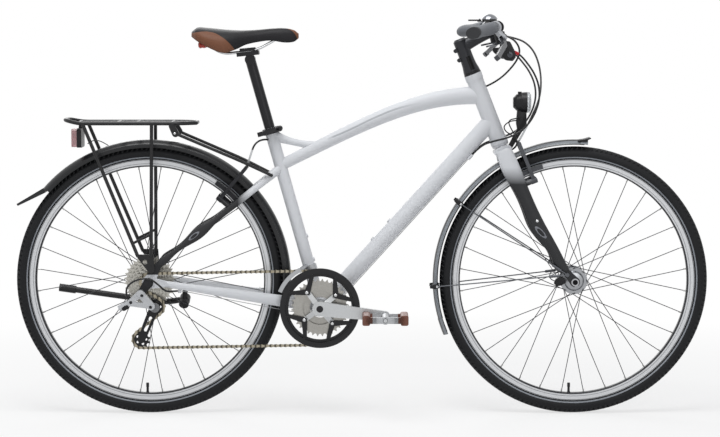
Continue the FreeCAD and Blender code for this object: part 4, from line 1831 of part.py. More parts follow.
rear_end_point, rear_outward = noodle_end(rear_brake, REAR_NOODLE_LIFT)
REAR_EXIT_BELOW = 31.0
rear_exit = seat_point(SEAT_TUBE_LENGTH - REAR_EXIT_BELOW) + vec(-13, -13, 0)
rear_brake_end = [rear_exit, rear_exit + vec(-14.3, -13, 2), rear_end_point + rear_outward * 16,
                  rear_end_point]
stay_stop_middle = CHAINSTAY_STOP - UP * 13
derailleur_route = [
    stay_stop_middle - FORWARD * (STAY_STOP_RADIUS + CABLE_END_GAP), stay_stop_middle + vec(-20, -1, -1),
    REAR_AXLE + vec(45, -80, -22), REAR_AXLE + vec(28, -95, -3), REAR_AXLE + vec(7, -102, 14),
    REAR_AXLE + vec(-25, -104, 13), REAR_AXLE + vec(-51, -101, -3), REAR_AXLE + vec(-57, -94, -24),
    at_y(BODY_TAIL + vec(-2, 0, 11), body_middle_y),
]
wire_route = [
    cable_point(CABLE_STOP_REACH - CABLE_END_GAP, -CABLE_Y), cable_point(0, -CABLE_Y),
    at_y(BOTTOM_BRACKET + vec(-3, 0, -SHELL_RADIUS - 7), -CABLE_Y - 6),
    stay_stop_middle + FORWARD * (STAY_STOP_RADIUS + CABLE_END_GAP),
]
keep("frame_cables", [
    housing("rear brake, back half", rear_brake_end), housing("rear derailleur", derailleur_route),
    bent_rod(wire_route, WIRE_RADIUS, 0.2),
])
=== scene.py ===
import math

import bmesh
import bpy
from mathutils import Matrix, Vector
from mathutils.bvhtree import BVHTree


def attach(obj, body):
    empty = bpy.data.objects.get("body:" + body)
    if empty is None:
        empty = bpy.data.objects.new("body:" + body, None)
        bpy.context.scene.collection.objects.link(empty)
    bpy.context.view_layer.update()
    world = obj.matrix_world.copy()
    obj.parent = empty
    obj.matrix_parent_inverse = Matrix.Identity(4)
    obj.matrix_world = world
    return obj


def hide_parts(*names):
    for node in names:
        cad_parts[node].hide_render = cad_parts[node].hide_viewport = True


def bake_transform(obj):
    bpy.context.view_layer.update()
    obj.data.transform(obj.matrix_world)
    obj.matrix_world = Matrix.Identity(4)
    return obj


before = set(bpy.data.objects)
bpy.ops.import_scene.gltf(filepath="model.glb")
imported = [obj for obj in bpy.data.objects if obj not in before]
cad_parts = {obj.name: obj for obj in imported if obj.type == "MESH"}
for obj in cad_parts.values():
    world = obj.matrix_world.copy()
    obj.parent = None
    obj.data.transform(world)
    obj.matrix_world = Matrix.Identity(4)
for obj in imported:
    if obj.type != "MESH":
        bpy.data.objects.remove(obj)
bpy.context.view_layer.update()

# The studio: a white paper sweep under three soft boxes, above, in front and behind, as in a shop
# catalogue. Floor and background read as paper white and keep only the soft shadow under the tyres.
scene = bpy.context.scene
scene.view_settings.view_transform = "Standard"
studio = scene.collection


def linear(code):
    """A hex colour, as seen on a screen, in the linear values that shaders take."""
    parts = [int(code[at:at + 2], 16) / 255 for at in (1, 3, 5)]
    return [part / 12.92 if part < 0.04045 else ((part + 0.055) / 1.055) ** 2.4 for part in parts] + [1.0]


def add(tree, kind, settings=None, links=None):
    """Add one node: settings name its properties or its free sockets, links feed the others."""
    made = tree.nodes.new(kind)
    for name, value in (settings or {}).items():
        if isinstance(name, str) and hasattr(made, name):
            setattr(made, name, value)
        else:
            made.inputs[name].default_value = value
    for name, output in (links or {}).items():
        tree.links.new(output, made.inputs[name])
    return made


def seen_directly(tree):
    """One for rays that show the background: those of the camera, of gloss and of clear lenses."""
    path = add(tree, "ShaderNodeLightPath")
    shown = add(tree, "ShaderNodeMath", {"operation": "MAXIMUM"},
                {0: path.outputs["Is Camera Ray"], 1: path.outputs["Is Glossy Ray"]})
    return add(tree, "ShaderNodeMath", {"operation": "MAXIMUM"},
               {0: shown.outputs[0], 1: path.outputs["Is Transmission Ray"]}).outputs[0]


SKY_LIGHT = 0.34
world = bpy.data.worlds.new("white_studio")
world.use_nodes = True
scene.world = world
world.node_tree.nodes.clear()
soft_sky = add(world.node_tree, "ShaderNodeBackground", {"Color": linear("#F4F6FA"), "Strength": SKY_LIGHT})
white_sky = add(world.node_tree, "ShaderNodeBackground", {"Color": linear("#FFFFFF"), "Strength": 1.0})
sky = add(world.node_tree, "ShaderNodeMixShader", None, {
    0: seen_directly(world.node_tree), 1: soft_sky.outputs[0], 2: white_sky.outputs[0],
})
add(world.node_tree, "ShaderNodeOutputWorld", None, {"Surface": sky.outputs[0]})

FLOOR_HALF = 14.0
PAPER_GLOW = 0.66
SHADOW_FROM = 1.0
SHADOW_TO = 2.2
paper = bpy.data.materials.new("matt_white_paper")
paper.use_nodes = True
tree = paper.node_tree
tree.nodes.clear()
sheet_shade = add(tree, "ShaderNodeBsdfDiffuse", {"Color": linear("#F6F6F6")})
sheet_white = add(tree, "ShaderNodeEmission", {"Color": linear("#FFFFFF"), "Strength": 1.0})
place = add(tree, "ShaderNodeTexCoord")
reach = add(tree, "ShaderNodeVectorMath", {"operation": "LENGTH"}, {0: place.outputs["Object"]})
fade = add(tree, "ShaderNodeMapRange", {
    "From Min": SHADOW_FROM, "From Max": SHADOW_TO, "To Min": PAPER_GLOW, "To Max": 1.0,
}, {"Value": reach.outputs["Value"]})
glow = add(tree, "ShaderNodeMath", {"operation": "MULTIPLY"}, {0: seen_directly(tree), 1: fade.outputs[0]})
both = add(tree, "ShaderNodeMixShader", None, {
    0: glow.outputs[0], 1: sheet_shade.outputs[0], 2: sheet_white.outputs[0],
})
add(tree, "ShaderNodeOutputMaterial", None, {"Surface": both.outputs[0]})
floor_mesh = bpy.data.meshes.new("floor")
floor_corners = [(x * FLOOR_HALF, y * FLOOR_HALF, 0) for x, y in ((-1, -1), (1, -1), (1, 1), (-1, 1))]
floor_mesh.from_pydata(floor_corners, [], [(0, 1, 2, 3)])
floor = bpy.data.objects.new("floor", floor_mesh)
floor_mesh.materials.append(paper)
studio.objects.link(floor)

SOFT_BOXES = (
    ("overhead_box", (-0.6, -1.2, 4.2), 112.0, 2.6),
    ("front_box", (1.6, -5.0, 2.4), 30.0, 2.0),
    ("back_box", (-1.0, 4.5, 2.6), 45.0, 2.4),
)
SOFT_BOX_AIM = Vector((0, 0, 0.45))
for name, place, power, size in SOFT_BOXES:
    lamp = bpy.data.lights.new(name, "AREA")
    lamp.energy = power
    lamp.size = size
    holder = bpy.data.objects.new(name, lamp)
    holder.location = place
    holder.rotation_euler = (SOFT_BOX_AIM - Vector(place)).to_track_quat("-Z", "Y").to_euler()
    studio.objects.link(holder)

# The camera's place, tilt and lens were solved from the outlines of both wheels in the photo
SENSOR_WIDTH = 36.0
FOCAL_LENGTH = 124.8
CAMERA_PLACE = (-0.00505, -6.5, 1.04926)
CAMERA_DOWN = 4.7336
lens = bpy.data.cameras.new("camera")
lens.sensor_width = SENSOR_WIDTH
lens.lens = FOCAL_LENGTH
camera = bpy.data.objects.new("camera", lens)
camera.location = CAMERA_PLACE
camera.rotation_euler = (math.radians(90 - CAMERA_DOWN), 0, 0)
studio.objects.link(camera)
scene.camera = camera

# The frame: welded aluminium tubes under satin pearl-white enamel. A grey line runs
# along the side of the top tube, and the seatstays fade to graphite below the brake.
CREASE_ANGLE = math.radians(28)
WELD_DISTANCE = 0.000004


def tree_taking(name, **sizes):
    """A Geometry Nodes tree that takes a mesh and the named kinds of size, and gives a mesh."""
    made = bpy.data.node_groups.new(name, "GeometryNodeTree")
    made.interface.new_socket("Geometry", in_out="INPUT", socket_type="NodeSocketGeometry")
    for label, kind in sizes.items():
        made.interface.new_socket(label, in_out="INPUT", socket_type="NodeSocket" + kind)
    made.interface.new_socket("Geometry", in_out="OUTPUT", socket_type="NodeSocketGeometry")
    return made


shading = tree_taking("machined_edges")
raw = add(shading, "NodeGroupInput")
welded = add(shading, "GeometryNodeMergeByDistance", {"Distance": WELD_DISTANCE},
             {"Geometry": raw.outputs[0]})
rounded = add(shading, "GeometryNodeSetShadeSmooth", {"domain": "FACE"}, {"Geometry": welded.outputs[0]})
angle = add(shading, "GeometryNodeInputMeshEdgeAngle")
sharp = add(shading, "FunctionNodeCompare", {"operation": "GREATER_THAN", "B": CREASE_ANGLE},
            {"A": angle.outputs[0]})
creased = add(shading, "GeometryNodeSetShadeSmooth", {"domain": "EDGE", "Shade Smooth": False},
              {"Geometry": rounded.outputs[0], "Selection": sharp.outputs[0]})
add(shading, "NodeGroupOutput", None, {0: creased.outputs[0]})


def dress(material, *names):
    """Give whole parts of the frame model a finish, with smooth shading between their sharp edges."""
    for name in names:
        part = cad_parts[name]
        for slot in part.material_slots:
            slot.material = material
        part.modifiers.new("machined_edges", "NODES").node_group = shading


def sockets(material):
    """The inputs of a material's shader."""
    return material.node_tree.nodes["Principled BSDF"].inputs


def grained(name, dark, light, grain_mm, roughness, metallic=0.0, relief_mm=0.0, shine=0.5):
    """A material whose colour, gloss and relief follow one grain of a real size."""
    made = bpy.data.materials.new(name)
    made.use_nodes = True
    tree = made.node_tree
    shader = sockets(made)
    place = add(tree, "ShaderNodeTexCoord")
    grain = add(tree, "ShaderNodeTexNoise", {"Scale": 1000 / grain_mm, "Detail": 3.0},
                {"Vector": place.outputs["Object"]})
    colour = add(tree, "ShaderNodeMix", {"data_type": "RGBA", 6: linear(dark), 7: linear(light)},
                 {0: grain.outputs[0]})
    gloss = add(tree, "ShaderNodeMapRange", {"To Min": roughness * 0.94, "To Max": roughness * 1.06},
                {"Value": grain.outputs[0]})
    tree.links.new(colour.outputs[2], shader["Base Color"])
    tree.links.new(gloss.outputs[0], shader["Roughness"])
    shader["Metallic"].default_value = metallic
    shader["Specular IOR Level"].default_value = shine
    if relief_mm:
        relief = add(tree, "ShaderNodeBump", {"Strength": 0.6, "Distance": relief_mm / 1000},
                     {"Height": grain.outputs[0]})
        tree.links.new(relief.outputs[0], shader["Normal"])
    return made


def tint(material, mask, code):
    """Lay a second colour over a material where a mask is one."""
    tree = material.node_tree
    base = sockets(material)["Base Color"]
    under = base.links[0].from_socket
    over = add(tree, "ShaderNodeMix", {"data_type": "RGBA", 7: linear(code)}, {0: mask, 6: under})
    tree.links.new(over.outputs[2], base)


def axes(tree):
    """Where a point of the part is, as its X, Y and Z in metres."""
    place = add(tree, "ShaderNodeTexCoord")
    return add(tree, "ShaderNodeSeparateXYZ", None, {0: place.outputs["Object"]}).outputs


def along(tree, axis, start, end):
    """A mask that goes from nought at start to one at end, in metres along an axis."""
    mask = add(tree, "ShaderNodeMapRange", {"From Min": start, "From Max": end}, {"Value": axes(tree)[axis]})
    return mask.outputs[0]


# Pearl enamel: fine mica flakes in a satin film, so the white is soft, with broad highlights
PEARL_FLAKE = 0.9
GRAPHITE = "#1B1C1F"


def pearl_enamel(name, coat=0.0):
    """The frame's paint, with a clear coat where a part has one."""
    made = grained(name, "#D6D8DC", "#DEE0E3", PEARL_FLAKE, 0.46, 0.0, 0.0, 0.3)
    sockets(made)["Coat Weight"].default_value = coat
    sockets(made)["Coat Roughness"].default_value = 0.06
    return made


frame_paint = pearl_enamel("pearl_enamel_on_aluminium")
dress(frame_paint, "head_tube", "down_tube", "seat_tube")

# The chainstays carry the kickstand's cast bracket, which is black, ahead of the left dropout
chainstay_paint = pearl_enamel("pearl_enamel_with_a_black_bracket")
tree = chainstay_paint.node_tree
behind = along(tree, "X", -0.430, -0.432)
leftward = along(tree, "Y", 0.030, 0.032)
beneath = along(tree, "Z", 0.3205, 0.3190)
bracket = add(tree, "ShaderNodeMath", {"operation": "MULTIPLY"}, {0: behind, 1: leftward})
bracket = add(tree, "ShaderNodeMath", {"operation": "MULTIPLY"}, {0: bracket.outputs[0], 1: beneath})
tint(chainstay_paint, bracket.outputs[0], "#161618")
# The top of each dropout, where the graphite stay is welded on, is graphite too
dropout = add(tree, "ShaderNodeMath", {"operation": "MULTIPLY"}, {
    0: along(tree, "X", -0.500, -0.506), 1: along(tree, "Z", 0.3700, 0.3720),
})
tint(chainstay_paint, dropout.outputs[0], GRAPHITE)
dress(chainstay_paint, "chainstays")

STRIPE_LINE = ((-0.092, 0.7185), (-0.035, 0.7425), (0.038, 0.7773), (0.095, 0.7995), (0.155, 0.8140))
STRIPE_HALF = 0.0024
STRIPE_SOFT = 0.0003
STRIPE_STRENGTH = 0.8
STRIPE_FULL_BEHIND = 0.08
STRIPE_REAR_FADE = 0.02
striped_paint = pearl_enamel("pearl_enamel_with_a_line")
tree = striped_paint.node_tree
first, last = STRIPE_LINE[0], STRIPE_LINE[-1]
line = add(tree, "ShaderNodeFloatCurve", None, {"Value": along(tree, "X", first[0], last[0])})
bend = line.mapping.curves[0]
for x, z in STRIPE_LINE[1:-1]:
    bend.points.new((x - first[0]) / (last[0] - first[0]), (z - first[1]) / (last[1] - first[1]))
bend.points[0].location = (0, 0)
bend.points[-1].location = (1, 1)
line.mapping.update()
height = add(tree, "ShaderNodeMapRange", {"To Min": first[1], "To Max": last[1]}, {"Value": line.outputs[0]})
away = add(tree, "ShaderNodeMath", {"operation": "SUBTRACT"}, {0: axes(tree)["Z"], 1: height.outputs[0]})
away = add(tree, "ShaderNodeMath", {"operation": "ABSOLUTE"}, {0: away.outputs[0]})
inside = add(tree, "ShaderNodeMapRange", {
    "From Min": STRIPE_HALF + STRIPE_SOFT, "From Max": STRIPE_HALF - STRIPE_SOFT, "To Max": STRIPE_STRENGTH,
}, {"Value": away.outputs[0]})
front = along(tree, "X", last[0], STRIPE_FULL_BEHIND)
rear = along(tree, "X", first[0], first[0] + STRIPE_REAR_FADE)
inside = add(tree, "ShaderNodeMath", {"operation": "MULTIPLY"}, {0: inside.outputs[0], 1: front})
inside = add(tree, "ShaderNodeMath", {"operation": "MULTIPLY"}, {0: inside.outputs[0], 1: rear})
tint(striped_paint, inside.outputs[0], "#A9ACB0")
dress(striped_paint, "top_tube")

stay_paint = pearl_enamel("pearl_enamel_fading_on_the_stays", 0.25)
tint(stay_paint, along(stay_paint.node_tree, "X", -0.292, -0.322), GRAPHITE)
dress(stay_paint, "seatstays")

# Headset and bottom-bracket cups: turned aluminium, pressed or screwed in. The bottom bracket's
# are silver, the lower headset cup is painted with the frame, and the upper one is black.
turned_silver = grained("turned_anodised_aluminium", "#9FA1A4", "#B4B6B8", 0.8, 0.34, 1.0)
headset_silver = grained("headset_cups_in_two_finishes", "#9FA1A4", "#B4B6B8", 0.8, 0.34, 0.5)
tint(headset_silver, along(headset_silver.node_tree, "Z", 0.40, 0.41), "#C4C6CA")
tint(headset_silver, along(headset_silver.node_tree, "Z", 0.80, 0.81), "#1A1A1C")
dress(headset_silver, "bearing_cups")

# The fork: welded like the frame and painted with it, white at the crown and graphite below the
# brake studs, where the blades hold an oval rubber insert on each side.
HANDS = ((-1, "right"), (1, "left"))
SEAM_CLOSE = 0.000005


def faces_outward(mesh):
    """Close a mesh's seams, turn its faces outward and shade them smooth."""
    form = bmesh.new()
    form.from_mesh(mesh)
    bmesh.ops.remove_doubles(form, verts=form.verts, dist=SEAM_CLOSE)
    bmesh.ops.recalc_face_normals(form, faces=form.faces)
    for face in form.faces:
        face.smooth = True
    form.to_mesh(mesh)
    form.free()


def band(low, high, count):
    """The faces between two closed rings of points, given by the number of each ring's first point."""
    pairs = [(index, (index + 1) % count) for index in range(count)]
    return [(low + index, low + after, high + after, high + index) for index, after in pairs]


def as_piece(name, mesh, material, body):
    """Put a finished mesh in the scene, on a body and in a colour slot."""
    mesh.materials.append(material)
    piece = bpy.data.objects.new(name, mesh)
    studio.objects.link(piece)
    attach(piece, body)
    return piece


INSERT_RINGS = 9
INSERT_STEPS = 40
INSERT_ROOT = -0.6
INSERT_BED = -0.2
CAST_FROM = 0.2


def inlay(name, node, middle, half_long, half_short, tilt, rise, side, material, body):
    """An oval pad on the outside of a part: rings of points cast onto its surface, crowned in the middle."""
    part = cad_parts[node].data
    skin = BVHTree.FromPolygons(
        [corner.co for corner in part.vertices], [face.vertices for face in part.polygons],
    )
    points = []
    shares = []
    for lift in (1, -1):
        for row in range(INSERT_RINGS):
            share = (row + 1) / INSERT_RINGS
            for index in range(INSERT_STEPS):
                turn = 2 * math.pi * index / INSERT_STEPS
                u = half_long * share * math.cos(turn)
                v = half_short * share * math.sin(turn)
                x = middle[0] + u * math.cos(tilt) - v * math.sin(tilt)
                z = middle[1] + u * math.sin(tilt) + v * math.cos(tilt)
                hit = skin.ray_cast(Vector((x / 1000, side * CAST_FROM, z / 1000)), Vector((0, -side, 0)))[0]
                crown = rise * (1 - share ** 4) if lift > 0 else INSERT_ROOT
                points.append(hit + Vector((0, side * (crown + INSERT_BED) / 1000, 0)))
                shares.append(share)
    faces = []
    for sheet in (0, INSERT_RINGS):
        for row in range(sheet, sheet + INSERT_RINGS - 1):
            faces += band(row * INSERT_STEPS, (row + 1) * INSERT_STEPS, INSERT_STEPS)
        faces.append(tuple(range(sheet * INSERT_STEPS, (sheet + 1) * INSERT_STEPS)))
    faces += band((INSERT_RINGS - 1) * INSERT_STEPS, (2 * INSERT_RINGS - 1) * INSERT_STEPS, INSERT_STEPS)
    mesh = bpy.data.meshes.new(name)
    mesh.from_pydata(points, [], faces)
    mesh.attributes.new("share", "FLOAT", "POINT").data.foreach_set("value", shares)
    faces_outward(mesh)
    as_piece(name, mesh, material, body)


def button(name, node, middle, radius, rise, side, material, body):
    """A round inlay, such as a bolt's head or a cap."""
    inlay(name, node, middle, radius, radius, 0.0, rise, side, material, body)


fork_paint = pearl_enamel("pearl_enamel_fading_on_the_fork", 0.25)
tint(fork_paint, along(fork_paint.node_tree, "Z", 0.648, 0.604), GRAPHITE)
dress(fork_paint, "fork")
# Soft rubber: matt and dark, in a paler moulded rim
stainless = grained("polished_stainless_steel", "#B9BABC", "#D0D1D2", 1.2, 0.22, 1.0)
insert_rubber = grained("moulded_soft_rubber", "#1B1B1D", "#252528", 1.2, 0.6, 0.0, 0.04, 0.3)
tree = insert_rubber.node_tree
reach = add(tree, "ShaderNodeAttribute", {"attribute_name": "share"})
rim = add(tree, "ShaderNodeMapRange", {"From Min": 0.58, "From Max": 0.66}, {"Value": reach.outputs["Fac"]})
tint(insert_rubber, rim.outputs[0], "#7D7F85")
for side, hand in HANDS:
    inlay(hand + "_fork_insert", "fork", (463, 480), 22, 7.2, math.radians(-46), 1.4, side, insert_rubber,
          "steering")
    button(hand + "_fork_boss", "fork", (454, 509.5), 4.2, 1.8, side, stainless, "steering")
    inlay(hand + "_stay_insert", "seatstays", (-435, 471), 18, 5.6, math.radians(38), 1.4, side,
          insert_rubber, "frame")

# Seat post, clamp collar and its lever: drawn and forged aluminium, anodised black.
# The anodised skin is finely matt, with a long soft highlight.
black_anodised = grained("black_anodised_aluminium", "#1C1C1E", "#27272A", 0.7, 0.34, 0.45, 0.0, 0.4)
dress(black_anodised, "seat_post", "seat_clamp", "seat_qr_lever")

# Saddle rails: two rods of solid stainless steel, bent and polished. The seat post's clamp holds
# them at the middle, and their ends are sprung into the saddle's shell.
dress(stainless, "saddle_rails")

# The saddle: foam on a nylon shell under stretched synthetic leather, black on top, with brown
# side panels sewn on at the tail and a brown cap on the nose. It is glued at its lower edge.
RAIL_MIDDLE = Vector((-0.29632, 0, 0.94692))
SADDLE_SECTIONS = (
    (-144, 38, 52, 38), (-130, 60, 62, 28), (-104, 74, 61, 13), (-62, 77, 57, -3), (-36, 66, 55, 3),
    (-8, 47, 54.5, 16), (25, 32, 56, 24), (60, 24, 59, 28), (95, 21, 60, 23), (120, 16, 55, 25),
    (132, 8, 46, 34),
)
SADDLE_PAD = 20.0
SADDLE_STEPS = 132
COVER_STEPS = 44
BASE_STEPS = 14
PANEL_SEAM = ((-150, 46), (-140, 49), (-109, 52.7), (-84, 49), (-66, 40), (-50, 28), (-34, 10), (-24, -8))
NOSE_SEAM = ((22, 131), (29, 128), (37, 126), (52.7, 114.6), (61, 96))
SEAM_DEPTH = 0.9
SEAM_HALF = 1.6
PANEL_FRONT = -24
PANEL_CLEAR = 12
COVER_WRAP = 1.16
COVER_TUCK = 0.08
COVER_SIDE = 0.85
COVER_CROWN = 0.8
WAIST_SHARE = 0.2
HEM_DROP = 3
SHELL_THIN = 1.5
BASE_INSET = 0.96
BASE_BOW = 0.6
NARROWEST_HALF = 12


def ease(points, at):
    """Read a smooth line through points that run from low to high."""
    at = min(max(at, points[0][0]), points[-1][0])
    index = max(i for i in range(len(points) - 1) if points[i][0] <= at)
    (x0, *low), (x1, *high) = points[index], points[index + 1]
    before = points[max(index - 1, 0)]
    after = points[min(index + 2, len(points) - 1)]
    share = (at - x0) / (x1 - x0)
    values = []
    for k, (a, b) in enumerate(zip(low, high)):
        rise_a = (b - before[k + 1]) / (x1 - before[0]) * (x1 - x0)
        rise_b = (after[k + 1] - a) / (after[0] - x0) * (x1 - x0)
        values.append(
            (2 * share ** 3 - 3 * share ** 2 + 1) * a + (share ** 3 - 2 * share ** 2 + share) * rise_a
            + (3 * share ** 2 - 2 * share ** 3) * b + (share ** 3 - share ** 2) * rise_b
        )
    return values


def seam_distance(ahead, rise):
    """Below nought inside a brown panel, in millimetres from its seam."""
    panel = rise - ease(PANEL_SEAM, ahead)[0] if ahead < PANEL_FRONT else ahead - PANEL_FRONT + PANEL_CLEAR
    nose = ease(NOSE_SEAM, rise)[0] - ahead
    return min(panel, nose)


saddle_points = []
saddle_seams = []
ring = COVER_STEPS + 1 + BASE_STEPS - 1
for step in range(SADDLE_STEPS + 1):
    ahead = SADDLE_SECTIONS[0][0] + (SADDLE_SECTIONS[-1][0] - SADDLE_SECTIONS[0][0]) * step / SADDLE_STEPS
    half, top, low = ease(SADDLE_SECTIONS, ahead)
    profile = []
    for index in range(COVER_STEPS + 1):
        turn = math.pi * (index / COVER_STEPS * COVER_WRAP - COVER_TUCK)
        side = math.copysign(abs(math.cos(turn)) ** COVER_SIDE, math.cos(turn))
        lift = math.copysign(abs(math.sin(turn)) ** COVER_CROWN, math.sin(turn))
        waist = low + WAIST_SHARE * (top - low)
        span = top - waist if lift > 0 else (waist - low) * HEM_DROP
        profile.append((half * side, waist + span * lift))
    roof = max(top - SADDLE_PAD, low + SHELL_THIN)
    start, end = profile[-1], profile[0]
    for index in range(1, BASE_STEPS):
        share = index / BASE_STEPS
        bow = math.sin(math.pi * share) ** BASE_BOW
        y = start[0] + (end[0] - start[0]) * share
        profile.append((y * BASE_INSET, start[1] + (roof - start[1]) * bow))
    for index, (y, rise) in enumerate(profile):
        away = seam_distance(ahead, rise)
        if index <= COVER_STEPS:
            y *= 1 - SEAM_DEPTH / max(half, NARROWEST_HALF) * math.exp(-(away / SEAM_HALF) ** 2)
        saddle_points.append(RAIL_MIDDLE + Vector((ahead, y, rise)) / 1000)
        saddle_seams.append(away / 1000)
saddle_faces = []
for row in range(SADDLE_STEPS):
    saddle_faces += band(row * ring, (row + 1) * ring, ring)
for row in (0, SADDLE_STEPS):
    saddle_faces.append(tuple(range(row * ring, row * ring + ring)))
saddle_mesh = bpy.data.meshes.new("saddle_cover")
saddle_mesh.from_pydata(saddle_points, [], saddle_faces)
seams = saddle_mesh.attributes.new("seam", "FLOAT", "POINT")
seams.data.foreach_set("value", saddle_seams)
faces_outward(saddle_mesh)
# Synthetic leather: an embossed grain of about 1.5 mm, drawn at 2 mm so that it shows
LEATHER_GRAIN = 2.0
leather = grained("embossed_synthetic_leather", "#101013", "#19181C", LEATHER_GRAIN, 0.5, 0.0, 0.12, 0.22)
tree = leather.node_tree
edge = add(tree, "ShaderNodeAttribute", {"attribute_name": "seam"})
brown = add(tree, "ShaderNodeMapRange", {"From Min": 0.0003, "From Max": -0.0003},
            {"Value": edge.outputs["Fac"]})
tint(leather, brown.outputs[0], "#714A36")
groove = add(tree, "ShaderNodeMath", {"operation": "ABSOLUTE"}, {0: edge.outputs["Fac"]})
groove = add(tree, "ShaderNodeMapRange", {"From Min": 0.0011, "From Max": 0.0005},
             {"Value": groove.outputs[0]})
tint(leather, groove.outputs[0], "#17120F")
sockets(leather)["Sheen Weight"].default_value = 0.02
saddle = as_piece("saddle_cover", saddle_mesh, leather, "seat")
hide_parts("saddle")

TURN_STEPS = 24


def turned(name, foot, way, profile, material, body):
    """A round piece about a line from its foot, by how far along and how thick it is in millimetres."""
    way = Vector(way).normalized()
    aside = way.orthogonal().normalized()
    over = way.cross(aside)
    points = []
    faces = []
    for row, (reach, girth) in enumerate(profile):
        for index in range(TURN_STEPS):
            angle = 2 * math.pi * index / TURN_STEPS
            spot = way * reach + (aside * math.cos(angle) + over * math.sin(angle)) * girth
            points.append(Vector(foot) + spot / 1000)
        if row:
            faces += band((row - 1) * TURN_STEPS, row * TURN_STEPS, TURN_STEPS)
    for row in (0, len(profile) - 1):
        faces.append(tuple(range(row * TURN_STEPS, (row + 1) * TURN_STEPS)))
    mesh = bpy.data.meshes.new(name)
    mesh.from_pydata(points, [], faces)
    faces_outward(mesh)
    mesh.set_sharp_from_angle(angle=math.radians(50))
    as_piece(name, mesh, material, body)


# Elastomer: two red bumpers with a waist, on which the rails' rear ends are held under the tail
BUMPER_PROFILE = (
    (0, 4), (1.5, 7.5), (5, 9.5), (8, 8.2), (10, 7.8), (12, 8.2), (15, 9.5), (18.5, 7.5), (20, 4),
)
elastomer = grained("cast_red_elastomer", "#9E2A1C", "#B93A26", 1.8, 0.4, 0.0, 0.05)
for side, hand in HANDS:
    foot = RAIL_MIDDLE + Vector((-0.127, side * 0.030, 0.017))
    turned("saddle_bumper_" + hand, foot, (1, 0, 0.05), BUMPER_PROFILE, elastomer, "seat")

# Stem and handlebar: forged and drawn aluminium, anodised black. The stem has a recess in its side, drawn
# only as a painted shade, and a pale ring at its foot, and is bolted round the bar.
STEER_LEAN = math.radians(21.43)
STEM_RECESS_SHADE = (0.597, 0.7512)
STEM_RECESS_SHADE_HALF = (0.0058, 0.0185)
STEM_FOOT = 0.7243
bar_black = grained("bead_blasted_black_aluminium", "#151517", "#202023", 1.0, 0.36, 0.35, 0.02, 0.3)
dress(bar_black, "handlebar")
stem_black = grained("black_aluminium_with_painted_recess_shade", "#27282B", "#333438", 1.0, 0.32, 0.45, 0.02, 0.4)
tree = stem_black.node_tree
place = add(tree, "ShaderNodeTexCoord")
leaned = add(tree, "ShaderNodeMapping", {"Rotation": (0, STEER_LEAN, 0)}, {"Vector": place.outputs["Object"]})
split = add(tree, "ShaderNodeSeparateXYZ", None, {0: leaned.outputs[0]})


def within(tree, value, middle, half, soft):
    """One close to a middle value and nought beyond a half width."""
    away = add(tree, "ShaderNodeMath", {"operation": "SUBTRACT", 1: middle}, {0: value})
    away = add(tree, "ShaderNodeMath", {"operation": "ABSOLUTE"}, {0: away.outputs[0]})
    return add(tree, "ShaderNodeMapRange", {"From Min": half + soft, "From Max": half - soft},
               {"Value": away.outputs[0]}).outputs[0]


# Painted shade: the recess in the stem's side is a near-black patch in the stem's colour
recess_shade = add(tree, "ShaderNodeMath", {"operation": "MULTIPLY"}, {
    0: within(tree, split.outputs["X"], STEM_RECESS_SHADE[0], STEM_RECESS_SHADE_HALF[0], 0.0004),
    1: within(tree, split.outputs["Z"], STEM_RECESS_SHADE[1], STEM_RECESS_SHADE_HALF[1], 0.0004),
})
tint(stem_black, recess_shade.outputs[0], "#050506")
tint(stem_black, within(tree, split.outputs["Z"], STEM_FOOT, 0.0011, 0.0003), "#9C9EA2")
dress(stem_black, "stem")

# Grips: soft rubber moulded round a sleeve, grey, widened to a wing at the outer end.
# The moulded skin has a fine pimple and is darker on the end cap.
GRIP_PIMPLE = 2.4
GRIP_END_LEAN = -0.41
grip_rubber = grained("moulded_grey_rubber", "#5E6166", "#6E7176", GRIP_PIMPLE, 0.62, 0.0, 0.25)
tree = grip_rubber.node_tree
spot = axes(tree)
outward = add(tree, "ShaderNodeMath", {"operation": "ABSOLUTE"}, {0: spot["Y"]})
lean = add(tree, "ShaderNodeMath", {"operation": "MULTIPLY_ADD", 1: GRIP_END_LEAN},
           {0: spot["X"], 2: outward.outputs[0]})
cap = add(tree, "ShaderNodeMapRange", {"From Min": 0.1832, "From Max": 0.1848}, {"Value": lean.outputs[0]})
tint(grip_rubber, cap.outputs[0], "#26272A")
dress(grip_rubber, "grips")

# Brake brackets and shifter pods: cast aluminium and glass-filled nylon, black.
# The levers that pivot on them are forged aluminium, polished and lacquered.
nylon = grained("glass_filled_nylon", "#111113", "#1A1A1D", 1.4, 0.46, 0.0, 0.05, 0.3)
bracket_cast = grained("cast_brackets_with_silver_clamps", "#111113", "#1A1A1D", 1.4, 0.4, 0.3, 0.05, 0.3)
tree = bracket_cast.node_tree
outward = add(tree, "ShaderNodeMath", {"operation": "ABSOLUTE"}, {0: axes(tree)["Y"]})
clamps = add(tree, "ShaderNodeMapRange", {"From Min": 0.1560, "From Max": 0.1565},
             {"Value": outward.outputs[0]})
tint(bracket_cast, clamps.outputs[0], "#AEB0B4")
dress(bracket_cast, "lever_brackets")


def moulded(name, outline, start, end, edge, material, body):
    """A moulding with rounded edges: its outline from the side, between two faces, in millimetres."""
    form = bmesh.new()
    face = form.faces.new([form.verts.new((x / 1000, start / 1000, z / 1000)) for x, z in outline])
    pushed = bmesh.ops.extrude_face_region(form, geom=[face])
    moved = [item for item in pushed["geom"] if isinstance(item, bmesh.types.BMVert)]
    bmesh.ops.translate(form, verts=moved, vec=(0, (end - start) / 1000, 0))
    bmesh.ops.bevel(form, geom=list(form.edges), offset=edge / 1000, segments=4, profile=0.5,
                    affect="EDGES")
    mesh = bpy.data.meshes.new(name)
    form.to_mesh(mesh)
    form.free()
    faces_outward(mesh)
    mesh.set_sharp_from_angle(angle=math.radians(30))
    as_piece(name, mesh, material, body)


